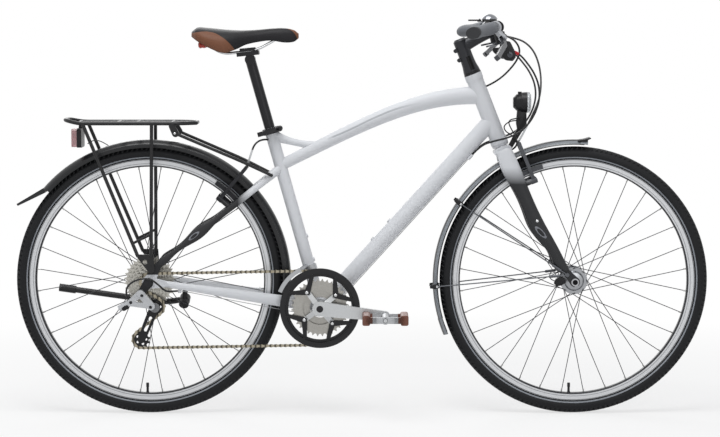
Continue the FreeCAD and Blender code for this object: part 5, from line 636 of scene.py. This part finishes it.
# The shifter's lower case hangs ahead of its thumb lever and turns back under it
POD_OUTLINE = (
    (365.5, 976), (377, 974), (389, 950), (392, 934), (384, 924), (366, 926), (346, 945), (345, 954),
    (365.5, 955),
)
POD_INNER = 114.0
POD_OUTER = 139.0
CAP_PROFILE = ((0, 7.5), (2.6, 7.5), (3.6, 6.2), (3.6, 2.4), (2.2, 1.8))
lever_grey = grained("polished_lacquered_aluminium", "#3C3D41", "#55575B", 2.0, 0.26, 0.9)
for side, hand in HANDS:
    moulded(hand + "_shifter_case", POD_OUTLINE, side * POD_INNER, side * POD_OUTER, 3.2, nylon,
            "steering")
    turned(hand + "_shifter_cap", (0.3765, side * POD_OUTER / 1000, 0.9405), (0, side, 0), CAP_PROFILE,
           lever_grey, "steering")
dress(lever_grey, "left_brake_lever", "right_brake_lever", "left_shift_lever", "right_shift_lever")

# The bell: a spun brass dome, chromed, on a black moulded base that is strapped round the bar.
# A nylon thumb lever at its side flicks the hammer.
BELL_BASE_TOP = (1.0306, 1.0310)
bell_chrome = grained("chromed_brass", "#7C7E83", "#94969B", 3.0, 0.12, 1.0)
tree = bell_chrome.node_tree
tint(bell_chrome, along(tree, "Z", BELL_BASE_TOP[1], BELL_BASE_TOP[0]), "#1A1A1C")
metal = along(tree, "Z", *BELL_BASE_TOP)
tree.links.new(metal, sockets(bell_chrome)["Metallic"])
dress(bell_chrome, "bell")
dress(nylon, "bell_lever")

# The headlight: a moulded black ABS housing on a stalk that is bolted to the fork crown, with a shroud
# over its bracket and a clear lens clipped in at the front.
housing_black = grained("moulded_black_abs", "#131315", "#1B1B1E", 1.6, 0.34, 0.0, 0.03, 0.3)
dress(housing_black, "headlight")
LAMP_BRACKET = ((404, 797), (416, 803), (428, 800), (429, 748), (420, 742), (404, 745), (401, 760))
moulded("headlight_bracket", LAMP_BRACKET, -9.0, 9.0, 2.6, housing_black, "steering")
# Acrylic: clear and glossy, over a faceted bright reflector that shows through as pale grey
lens_clear = grained("moulded_acrylic", "#DDE2E6", "#EEF1F3", 5.0, 0.08)
sockets(lens_clear)["Transmission Weight"].default_value = 0.55
sockets(lens_clear)["IOR"].default_value = 1.49
dress(lens_clear, "headlight_lens")

# Tyres: moulded rubber, slick on the crown with slanted blocks on the shoulders, and a grey
# reflective band on each wall close to the rim.
FRONT_AXLE = Vector((0.553, 0, 0.350))
REAR_AXLE = Vector((-0.553, 0, 0.350))
WHEELS = (("front", FRONT_AXLE), ("rear", REAR_AXLE))
BAND_RADIUS = 0.3215
BAND_HALF = 0.0016


def wheel_radius(tree, axle):
    """How far a point is from the wheel's axle, in metres, seen along the axle."""
    place = add(tree, "ShaderNodeTexCoord")
    centred = add(tree, "ShaderNodeMapping", {"Location": -axle, "Scale": (1, 0, 1)},
                  {"Vector": place.outputs["Object"]})
    radius = add(tree, "ShaderNodeVectorMath", {"operation": "LENGTH"}, {0: centred.outputs[0]})
    return radius.outputs["Value"]


TREAD_COUNT = 170
TREAD_RADIUS = 0.3438
TREAD_ACROSS = 0.0118
TREAD_BLOCK = (0.0086, 0.0064, 0.0030)
TREAD_SKEW = math.radians(34)
tread = tree_taking("shoulder_blocks", Count="Int", Radius="Float", Block="Vector", Across="Float",
                    Axle="Vector", Rubber="Material")
sizes = add(tread, "NodeGroupInput")
block = add(tread, "GeometryNodeMeshCube", None, {"Size": sizes.outputs["Block"]})
both_sides = add(tread, "GeometryNodeJoinGeometry")
for side in (-1, 1):
    circle = add(tread, "GeometryNodeCurvePrimitiveCircle", None,
                 {"Resolution": sizes.outputs["Count"], "Radius": sizes.outputs["Radius"]})
    spots = add(tread, "GeometryNodeCurveToPoints", {"mode": "EVALUATED"}, {"Curve": circle.outputs[0]})
    skew = add(tread, "FunctionNodeRotateRotation", {"rotation_space": "LOCAL"},
               {"Rotation": spots.outputs["Rotation"]})
    skew.inputs[1].default_value = (0, side * TREAD_SKEW, 0)
    placed = add(tread, "GeometryNodeInstanceOnPoints", None, {
        "Points": spots.outputs["Points"], "Instance": block.outputs["Mesh"], "Rotation": skew.outputs[0],
    })
    shift = add(tread, "ShaderNodeMath", {"operation": "MULTIPLY", 1: side}, {0: sizes.outputs["Across"]})
    aside = add(tread, "ShaderNodeCombineXYZ", None, {"Z": shift.outputs[0]})
    moved = add(tread, "GeometryNodeTransform", None,
                {"Geometry": placed.outputs[0], "Translation": aside.outputs[0]})
    tread.links.new(moved.outputs[0], both_sides.inputs[0])
real = add(tread, "GeometryNodeRealizeInstances", None, {0: both_sides.outputs[0]})
upright = add(tread, "GeometryNodeTransform", {"Rotation": (math.pi / 2, 0, 0)},
              {"Geometry": real.outputs[0], "Translation": sizes.outputs["Axle"]})
rubbered = add(tread, "GeometryNodeSetMaterial", None,
               {"Geometry": upright.outputs[0], "Material": sizes.outputs["Rubber"]})
add(tread, "NodeGroupOutput", None, {0: rubbered.outputs[0]})


def made_by(group, name, **values):
    """Run a tree with its named sizes and keep what it makes as a plain mesh."""
    maker = bpy.data.objects.new(name + "_maker", bpy.data.meshes.new(name + "_maker"))
    studio.objects.link(maker)
    work = maker.modifiers.new("work", "NODES")
    work.node_group = group
    for socket in group.interface.items_tree:
        if socket.in_out == "INPUT" and socket.name in values:
            work[socket.identifier] = values[socket.name]
    bpy.context.view_layer.update()
    result = bpy.data.meshes.new_from_object(maker.evaluated_get(bpy.context.evaluated_depsgraph_get()))
    maker.modifiers.remove(work)
    bpy.data.objects.remove(maker)
    result.name = name
    piece = bpy.data.objects.new(name, result)
    studio.objects.link(piece)
    return piece


for wheel, axle in WHEELS:
    rubber = grained("moulded_tyre_rubber_" + wheel, "#101113", "#17181B", 1.8, 0.6, 0.0, 0.1, 0.25)
    tree = rubber.node_tree
    tint(rubber, within(tree, wheel_radius(tree, axle), BAND_RADIUS, BAND_HALF, 0.0003), "#8E9298")
    dress(rubber, wheel + "_tyre")
    blocks = made_by(tread, wheel + "_tread", Count=TREAD_COUNT, Radius=TREAD_RADIUS, Block=TREAD_BLOCK,
                     Across=TREAD_ACROSS, Axle=axle, Rubber=rubber)
    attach(blocks, wheel + "_wheel")

# Rims: an aluminium extrusion rolled to a hoop, anodised silver, with a machined brake track
# between two dark lines. Each takes a black rubber valve at its foot.
VALVE_FOOT = Vector((-0.010, 0, -0.2985))
VALVE_PROFILE = ((0, 4.6), (2, 4.6), (4, 3.4), (15.5, 3.2), (16, 3.9), (25.5, 3.9), (27, 3.0))
for wheel, axle in WHEELS:
    track = grained("machined_silver_aluminium_" + wheel, "#C0C2C5", "#DADBDD", 0.9, 0.32, 0.6)
    tree = track.node_tree
    radius = wheel_radius(tree, axle)
    tint(track, within(tree, radius, 0.2985, 0.0022, 0.0004), "#3A3B3E")
    tint(track, within(tree, radius, 0.3052, 0.0005, 0.0002), "#5A5C60")
    tint(track, within(tree, radius, 0.3152, 0.0008, 0.0003), "#4A4C50")
    dress(track, wheel + "_rim")
    turned(wheel + "_valve", axle + VALVE_FOOT, (0, 0, 1), VALVE_PROFILE, nylon, wheel + "_wheel")

# Spokes: drawn stainless wire, blackened, hooked into the hub's flanges and screwed into nickelled
# brass nipples at the rim.
spoke_wire = grained("blackened_stainless_wire", "#242528", "#34353A", 1.0, 0.32, 0.7)
dress(spoke_wire, "front_spokes", "rear_spokes")
nipple_brass = grained("nickelled_brass", "#8C8C8C", "#A6A6A4", 0.8, 0.3, 1.0)
NIPPLE_COUNT = 32
NIPPLE_RADIUS = 0.2935
NIPPLE_GIRTH = 0.0019
NIPPLE_LENGTH = 0.008
nipples = tree_taking("spoke_nipples", Count="Int", Radius="Float", Girth="Float", Length="Float",
                      Axle="Vector", Metal="Material")
sizes = add(nipples, "NodeGroupInput")
pin = add(nipples, "GeometryNodeMeshCylinder", {"Vertices": 8},
          {"Radius": sizes.outputs["Girth"], "Depth": sizes.outputs["Length"]})
circle = add(nipples, "GeometryNodeCurvePrimitiveCircle", None,
             {"Resolution": sizes.outputs["Count"], "Radius": sizes.outputs["Radius"]})
spots = add(nipples, "GeometryNodeCurveToPoints", {"mode": "EVALUATED"}, {"Curve": circle.outputs[0]})
where = add(nipples, "GeometryNodeInputPosition")
radial = add(nipples, "FunctionNodeAlignRotationToVector", {"axis": "Z"}, {"Vector": where.outputs[0]})
placed = add(nipples, "GeometryNodeInstanceOnPoints", None, {
    "Points": spots.outputs["Points"], "Instance": pin.outputs["Mesh"], "Rotation": radial.outputs[0],
})
real = add(nipples, "GeometryNodeRealizeInstances", None, {0: placed.outputs[0]})
spun = add(nipples, "GeometryNodeTransform", {"Rotation": (0, 0, math.pi / NIPPLE_COUNT)},
           {"Geometry": real.outputs[0]})
upright = add(nipples, "GeometryNodeTransform", {"Rotation": (math.pi / 2, 0, 0)},
              {"Geometry": spun.outputs[0], "Translation": sizes.outputs["Axle"]})
plated = add(nipples, "GeometryNodeSetMaterial", None,
             {"Geometry": upright.outputs[0], "Material": sizes.outputs["Metal"]})
add(nipples, "NodeGroupOutput", None, {0: plated.outputs[0]})
for wheel, axle in WHEELS:
    pins = made_by(nipples, wheel + "_nipples", Count=NIPPLE_COUNT, Radius=NIPPLE_RADIUS, Girth=NIPPLE_GIRTH,
                   Length=NIPPLE_LENGTH, Axle=axle, Metal=nipple_brass)
    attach(pins, wheel + "_wheel")

# Hubs and axles: forged aluminium shells, turned and anodised silver, on axles bolted into the dropouts.
# The front axle's end has a dark socket, and the rear axle is black.
hub_silver = grained("turned_hub_aluminium", "#8F9194", "#ABADB0", 0.8, 0.3, 1.0)
dress(hub_silver, "front_hub", "rear_hub")
axle_steel = grained("turned_axle_with_dark_socket", "#9C9EA1", "#B9BABC", 1.2, 0.24, 0.9)
tree = axle_steel.node_tree
tint(axle_steel, within(tree, wheel_radius(tree, FRONT_AXLE), 0.0, 0.0068, 0.0003), "#151517")
dress(axle_steel, "front_axle")
dress(black_anodised, "rear_axle")

# The crank set: cold-forged silver arms and spider, an anodised black outer ring with its guard,
# and stamped inner rings in plain steel.
crank_silver = grained("satin_forged_aluminium", "#B4B6B8", "#C9CBCC", 1.4, 0.33, 0.9)
dress(crank_silver, "crank_arms")
CRANK_AXIS = (-109.0, 283.0)
RING_BOLT_CIRCLE = 52.0
RING_BOLT_ANGLES = (39, 131, 218, 308)
for side, hand in HANDS:
    button(hand + "_crank_cap", "crank_arms", CRANK_AXIS, 9.5, 1.0, side, black_anodised,
           "crankset")
for number, angle in enumerate(RING_BOLT_ANGLES):
    spot = (CRANK_AXIS[0] + RING_BOLT_CIRCLE * math.cos(math.radians(angle)),
            CRANK_AXIS[1] + RING_BOLT_CIRCLE * math.sin(math.radians(angle)))
    button("chainring_bolt_%d" % (number + 1), "outer_chainring", spot, 4.6, 1.6, -1, stainless,
           "crankset")
ring_black = grained("black_anodised_chainring", "#151517", "#1F1F22", 0.9, 0.34, 0.4)
dress(ring_black, "outer_chainring")
ring_steel = grained("stamped_steel", "#8D8B86", "#B5B3AE", 2.5, 0.32, 0.9)
dress(ring_steel, "inner_chainrings")

# Chain and cassette: stamped and riveted steel plates, nickel plated, with a film of oil that
# makes the chain look warmer than the sprockets. The chain is also darkened once every pitch
# along its length, a painted shade between its link plates.
oiled_nickel = grained("oiled_nickel_plated_steel_with_painted_gap_shade", "#8F8775", "#B5AE9D", 1.3, 0.3, 0.9)
CHAIN_PITCH = 0.0127
tree = oiled_nickel.node_tree
# Painted shade: a dark band every pitch along X stands in for the shade between the link plates
turns = add(tree, "ShaderNodeMath", {"operation": "MULTIPLY", 1: 2 * math.pi / CHAIN_PITCH},
            {0: axes(tree)["X"]})
swing = add(tree, "ShaderNodeMath", {"operation": "SINE"}, {0: turns.outputs[0]})
painted_gap_shade = add(tree, "ShaderNodeMapRange", {"From Min": 0.0, "From Max": 0.7, "To Max": 0.85},
           {"Value": swing.outputs[0]})
tint(oiled_nickel, painted_gap_shade.outputs[0], "#37332B")
dress(oiled_nickel, "chain")
sprocket_nickel = grained("nickel_plated_sprockets", "#A5A39C", "#C9C7C0", 1.3, 0.3, 0.9)
dress(sprocket_nickel, "cassette")

# Derailleurs: forged links and cages, silver and black, bolted to the right dropout and clamped round the
# seat tube. Two nylon pulleys turn in the rear cage.
cage_black = grained("black_cage_on_silver_links", "#151517", "#202023", 0.9, 0.32, 0.5)
tint(cage_black, along(cage_black.node_tree, "Y", -0.0828, -0.0834), "#B9BBBE")
dress(cage_black, "rear_derailleur")
LINK_PINS = (("upper", (-568, 319)), ("outer", (-597, 301)), ("lower", (-546, 289)))
for name, spot in LINK_PINS:
    button("derailleur_pin_" + name, "rear_derailleur", spot, 4.4, 1.4, -1, black_anodised,
           "frame")
BARREL_PROFILE = ((0, 4), (1, 6.2), (5, 7.2), (13, 7.2), (17, 6.2), (19, 4))
turned("derailleur_barrel", (-0.604, -0.0915, 0.2925), (-0.85, 0, -0.5), BARREL_PROFILE, nylon,
       "frame")
dress(turned_silver, "front_derailleur")
dress(nylon, "guide_pulley", "tension_pulley")

# Pedals: a cast aluminium body with brown rubber treads screwed on at the front and back, and a nylon
# cap over the axle's end. The axle is screwed into the crank.
TREAD_EDGE = (0.0325, 0.0330)
PEDAL_METAL = 0.7
PEDAL_MIDDLES = (("right_pedal", 0.0599, -0.178, 0.2638), ("left_pedal", -0.2779, 0.178, 0.3022))
PEDAL_CAP = ((-8, 6.2), (0.4, 6.2), (1.4, 5.2), (1.6, 3.0))
for name, middle, end, height in PEDAL_MIDDLES:
    turned(name + "_cap", (middle, end, height), (0, end, 0), PEDAL_CAP, nylon, name)
    treaded = grained("cast_aluminium_and_rubber_" + name, "#A2A4A7", "#BBBDBF", 1.6, 0.4, 0.5, 0.03)
    tree = treaded.node_tree
    away = add(tree, "ShaderNodeMath", {"operation": "SUBTRACT", 1: middle}, {0: axes(tree)["X"]})
    away = add(tree, "ShaderNodeMath", {"operation": "ABSOLUTE"}, {0: away.outputs[0]})
    ends = add(tree, "ShaderNodeMapRange", {"From Min": TREAD_EDGE[0], "From Max": TREAD_EDGE[1]},
               {"Value": away.outputs[0]})
    tint(treaded, ends.outputs[0], "#6E4334")
    metal = add(tree, "ShaderNodeMapRange", {
        "From Min": TREAD_EDGE[1], "From Max": TREAD_EDGE[0], "To Max": PEDAL_METAL,
    }, {"Value": away.outputs[0]})
    tree.links.new(metal.outputs[0], sockets(treaded)["Metallic"])
    dress(treaded, name)

# Rim brakes: forged arms, anodised dark, each turning on a stud with a moulded pad. A bent steel noodle
# leads the cable into the right arm of each pair.
BRAKE_ARMS = (
    ("front_brake_left", "#3A3B3F", "#55575B", 0.7125), ("front_brake_right", "#3A3B3F", "#55575B", 0.7125),
    ("rear_brake_left", "#1B1B1E", "#28292D", 0.6505), ("rear_brake_right", "#1B1B1E", "#28292D", 0.6505),
)
for name, dark, light, noodle_foot in BRAKE_ARMS:
    arm = grained("forged_arm_with_steel_noodle_" + name, dark, light, 1.0, 0.32, 0.6)
    tint(arm, along(arm.node_tree, "Z", noodle_foot, noodle_foot + 0.001), "#C2C4C6")
    dress(arm, name)

# Fenders: a polycarbonate strip with an aluminium core, black on the crown, with grey reflective
# edges, and a soft flap at the low end. Two wire stays hold the front one.
fender_black = grained("coated_polycarbonate", "#131416", "#1C1D20", 2.2, 0.28, 0.0, 0.0, 0.4)
banded = grained("coated_polycarbonate_with_grey_sides", "#131416", "#1C1D20", 2.2, 0.28, 0.0, 0.0, 0.4)
tree = banded.node_tree
tint(banded, within(tree, wheel_radius(tree, FRONT_AXLE), 0.3612, 0.0034, 0.0006), "#8A8F94")
dress(banded, "front_fender")
dress(fender_black, "rear_fender")
# The rear fender's rolled lips hang a little lower than its skirts, clear of the tread
LIP_ANGLES = (-6.5, 138.5)
LIP_STEPS = 146
LIP_SECTION = (
    (22.2, 356.5), (24.0, 356.5), (24.6, 352), (24.2, 347.6), (23.2, 347.0), (22.4, 348.2), (22.8, 352),
)
for side, hand in HANDS:
    points = []
    faces = []
    ring = len(LIP_SECTION)
    for step in range(LIP_STEPS + 1):
        angle = math.radians(LIP_ANGLES[0] + (LIP_ANGLES[1] - LIP_ANGLES[0]) * step / LIP_STEPS)
        out = Vector((math.cos(angle), 0, math.sin(angle)))
        points += [REAR_AXLE + (out * radius + Vector((0, side * across, 0))) / 1000
                   for across, radius in LIP_SECTION]
    for step in range(LIP_STEPS):
        faces += band(step * ring, (step + 1) * ring, ring)
    faces.append(tuple(range(ring)))
    faces.append(tuple(range(LIP_STEPS * ring, (LIP_STEPS + 1) * ring)))
    lip_mesh = bpy.data.meshes.new(hand + "_fender_lip")
    lip_mesh.from_pydata(points, [], faces)
    faces_outward(lip_mesh)
    lip_mesh.set_sharp_from_angle(angle=math.radians(60))
    as_piece(hand + "_fender_lip", lip_mesh, fender_black, "frame")
# The front fender's lead edge is drawn out to a black tip
FENDER_TIP = ((560, 716.5), (578, 719), (594, 723.5), (596, 721), (582, 714), (562, 712.5))
moulded("front_fender_tip", FENDER_TIP, -22.0, 22.0, 0.8, nylon, "steering")
stay_wire = grained("galvanised_steel_wire", "#4E5054", "#66686C", 1.0, 0.4, 0.8)
dress(stay_wire, "front_fender_stays")
CLIP_ANGLES = (145.8, 182.4)
CLIP_OUTLINE = ((351, -4.5), (362, -6.5), (376, -4), (376, 4), (362, 6.5), (351, 4.5))
BOLT_PROFILE = ((0, 3.6), (3.2, 3.6), (4.2, 2.8), (4.2, 1.6), (2.8, 1.4))
for number, angle in enumerate(CLIP_ANGLES):
    out = Vector((math.cos(math.radians(angle)), 0, math.sin(math.radians(angle))))
    over = Vector((-out.z, 0, out.x))
    corners = [FRONT_AXLE * 1000 + out * reach + over * aside for reach, aside in CLIP_OUTLINE]
    for side, hand in HANDS:
        name = "%s_fender_clip_%d" % (hand, number + 1)
        moulded(name, [(corner.x, corner.z) for corner in corners], side * 24.0, side * 29.5, 1.2, nylon,
                "steering")
        foot = FRONT_AXLE + out * 0.357 + Vector((0, side * 0.0295, 0))
        turned(name + "_bolt", foot, (0, side, 0), BOLT_PROFILE, stainless, "steering")

# The rack: bent aluminium tube and plate, powder coated black, bolted to the frame.
# Powder coat is finely pebbled, so its highlights are broad.
rack_black = grained("black_powder_coat", "#0D0D0F", "#151518", 1.5, 0.36, 0.0, 0.04, 0.4)
dress(rack_black, "rear_rack")
for side, hand in HANDS:
    button(hand + "_rack_bolt", "rear_rack", (-483, 736.5), 3.6, 1.8, side, stainless, "frame")

# The rear light: a black moulded body bolted under the end of the rack, with a pale red polycarbonate
# lens snapped over it.
dress(housing_black, "rear_light")
lens_red = grained("pale_red_polycarbonate", "#A5686B", "#D6B4B6", 6.0, 0.12)
sockets(lens_red)["Transmission Weight"].default_value = 0.3
sockets(lens_red)["IOR"].default_value = 1.58
dress(lens_red, "rear_light_lens")

# The kickstand: a bent aluminium leg with a nylon foot, powder coated black. It is folded up at rest, and
# swings down on a pin in the bracket ahead of the left dropout.
dress(rack_black, "kickstand")

# Cables: steel wire in a lined black vinyl housing, 5 mm across, clipped at both ends. Those that
# cross the head swing with the bar at one end and stay with the frame at the other.
HOUSING_RADIUS = 0.0025
WIRE_RADIUS = 0.0009
LEAD_RADIUS = 0.0012
LAMP_LEAD_RADIUS = 0.0016
ADJUSTER_RADIUS = 0.0042
SHIFT_ROUTE = (
    (381, -126, 950), (393, -125, 946), (408, -115, 936), (424, -105, 917), (441, -92, 894),
    (455, -77, 862), (458, -66, 826), (448, -60, 790), (430, -58, 760), (406, -55, 737), (374, -44, 723),
    (342, -28, 715), (309, -11, 702.7), (287.6, -9, 678.9),
)
REAR_BRAKE_ROUTE = (
    (363.9, -140.7, 988.1), (371.7, -126.8, 986.9), (394, -100, 974), (406, -80, 952), (402, -56, 929),
    (386, -33, 904), (362, -4, 878), (332, 26, 858), (300, 34, 846), (272, 24.5, 838),
)
FRONT_BRAKE_ROUTE = (
    (363.9, 140.7, 988.1), (371.7, 126.8, 986.9), (404, 98, 980), (430, 82, 970), (452, 62, 946),
    (465, 42, 908), (468, 18, 866), (462, -10, 826), (443.9, -38.9, 786.8), (430.1, -41, 760.3),
)
REAR_END_ROUTE = ((-244.7, -13, 718), (-259, -26, 720), (-279.1, -39.7, 708), (-283.9, -41, 692.8))
DERAILLEUR_ROUTE = (
    (-477.4, -62, 327.6), (-492.6, -63, 326.6), (-508, -80, 328), (-525, -95, 347), (-546, -102, 364),
    (-578, -104, 363), (-604, -101, 347), (-610, -94, 326), (-606, -89, 309),
)
WIRE_ROUTE = ((276.4, -9, 666.6), (-84.3, -9, 267.9), (-112, -15, 255), (-467.8, -62, 327.6))
vinyl = grained("extruded_black_vinyl", "#0F0F11", "#18181B", 1.2, 0.35, 0.0, 0.0, 0.4)
bare_wire = grained("stranded_steel_wire", "#8A8B8D", "#A5A6A8", 0.8, 0.3, 1.0)


def cable(name, route, radius, material, order=3):
    """A round cable along a smooth line through the route, as a plain mesh."""
    line = bpy.data.curves.new(name, "CURVE")
    line.dimensions = "3D"
    line.bevel_depth = radius
    line.bevel_resolution = 4
    line.use_fill_caps = True
    line.resolution_u = 10
    run = line.splines.new("NURBS")
    run.points.add(len(route) - 1)
    for spot, (x, y, z) in zip(run.points, route):
        spot.co = (x / 1000, y / 1000, z / 1000, 1.0)
    run.order_u = order
    run.use_endpoint_u = True
    shaper = bpy.data.objects.new(name + "_line", line)
    studio.objects.link(shaper)
    bpy.context.view_layer.update()
    mesh = bpy.data.meshes.new_from_object(shaper.evaluated_get(bpy.context.evaluated_depsgraph_get()))
    bpy.data.objects.remove(shaper)
    faces_outward(mesh)
    mesh.name = name
    mesh.materials.clear()
    mesh.materials.append(material)
    piece = bpy.data.objects.new(name, mesh)
    studio.objects.link(piece)
    return piece


def mirrored(route):
    """The same route on the bike's other side."""
    return [(x, -y, z) for x, y, z in route]


right_shift = cable("right_shift_cable", SHIFT_ROUTE, HOUSING_RADIUS, vinyl)
left_shift = cable("left_shift_cable", mirrored(SHIFT_ROUTE), HOUSING_RADIUS, vinyl)
rear_brake = cable("rear_brake_cable", REAR_BRAKE_ROUTE, HOUSING_RADIUS, vinyl)
for piece in (right_shift, left_shift):
    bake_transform(piece)
    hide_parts("steering_cables")
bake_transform(rear_brake)
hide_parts("steering_cables")
front_brake = cable("front_brake_cable", FRONT_BRAKE_ROUTE, HOUSING_RADIUS, vinyl)
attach(front_brake, "steering")
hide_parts("fork_cables")
# The shifters' barrel adjusters, anodised red, are threaded on the housings where these leave the cases
barrel_red = grained("red_anodised_aluminium", "#A3161C", "#BC2128", 1.0, 0.3, 0.5)
ADJUSTER_ROUTE = ((384, -125.7, 949), (391, -124.6, 946), (399, -121, 942))
right_barrel = cable("right_adjuster", ADJUSTER_ROUTE, ADJUSTER_RADIUS, barrel_red)
left_barrel = cable("left_adjuster", mirrored(ADJUSTER_ROUTE), ADJUSTER_RADIUS, barrel_red)
# Thin lamp leads: two loop from the headlight's bracket to the crown, one from the hub's plug to the blade
LAMP_ROUTE = (
    (414, -5, 772), (405, -17, 768), (384, -28, 767), (367, -33, 755), (371, -34, 741), (388, -33, 731),
    (400, -31, 718), (403, -28, 705), (396, -24, 695), (386, -20, 690),
)
HUB_ROUTE = ((502, -53, 352), (490, -54, 356), (486, -54, 368), (494, -53, 380), (508, -52, 388))
HUB_PLUG = ((498, 346), (503, 358), (515, 365), (527, 360), (529, 348), (517, 341), (506, 339))
EARTH_ROUTE = (
    (412, -7, 775), (398, -20, 773), (383, -28, 770), (380, -31, 761), (388, -34, 745), (398, -35, 728),
    (403, -31, 712), (398, -26, 699), (388, -22, 691),
)
lamp_lead = cable("headlight_lead", LAMP_ROUTE, LAMP_LEAD_RADIUS, vinyl)
earth_lead = cable("headlight_earth_lead", EARTH_ROUTE, LAMP_LEAD_RADIUS, vinyl)
hub_lead = cable("hub_lead", HUB_ROUTE, LEAD_RADIUS, vinyl)
for piece in (right_barrel, left_barrel, lamp_lead, earth_lead, hub_lead):
    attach(piece, "steering")
moulded("hub_plug", HUB_PLUG, -60.0, -46.0, 2.0, nylon, "steering")
TAIL_ROUTE = ((-716, 8, 706), (-704, 8, 715), (-688, 9, 715), (-672, 10, 708), (-660, 10, 700))
tail_lead = cable("rear_light_lead", TAIL_ROUTE, LEAD_RADIUS, vinyl)
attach(tail_lead, "frame")
for piece in (
    cable("rear_brake_cable_end", REAR_END_ROUTE, HOUSING_RADIUS, vinyl),
    cable("derailleur_cable", DERAILLEUR_ROUTE, HOUSING_RADIUS, vinyl),
    cable("shift_wire", WIRE_ROUTE, WIRE_RADIUS, bare_wire, 2),
):
    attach(piece, "frame")
    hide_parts("frame_cables")
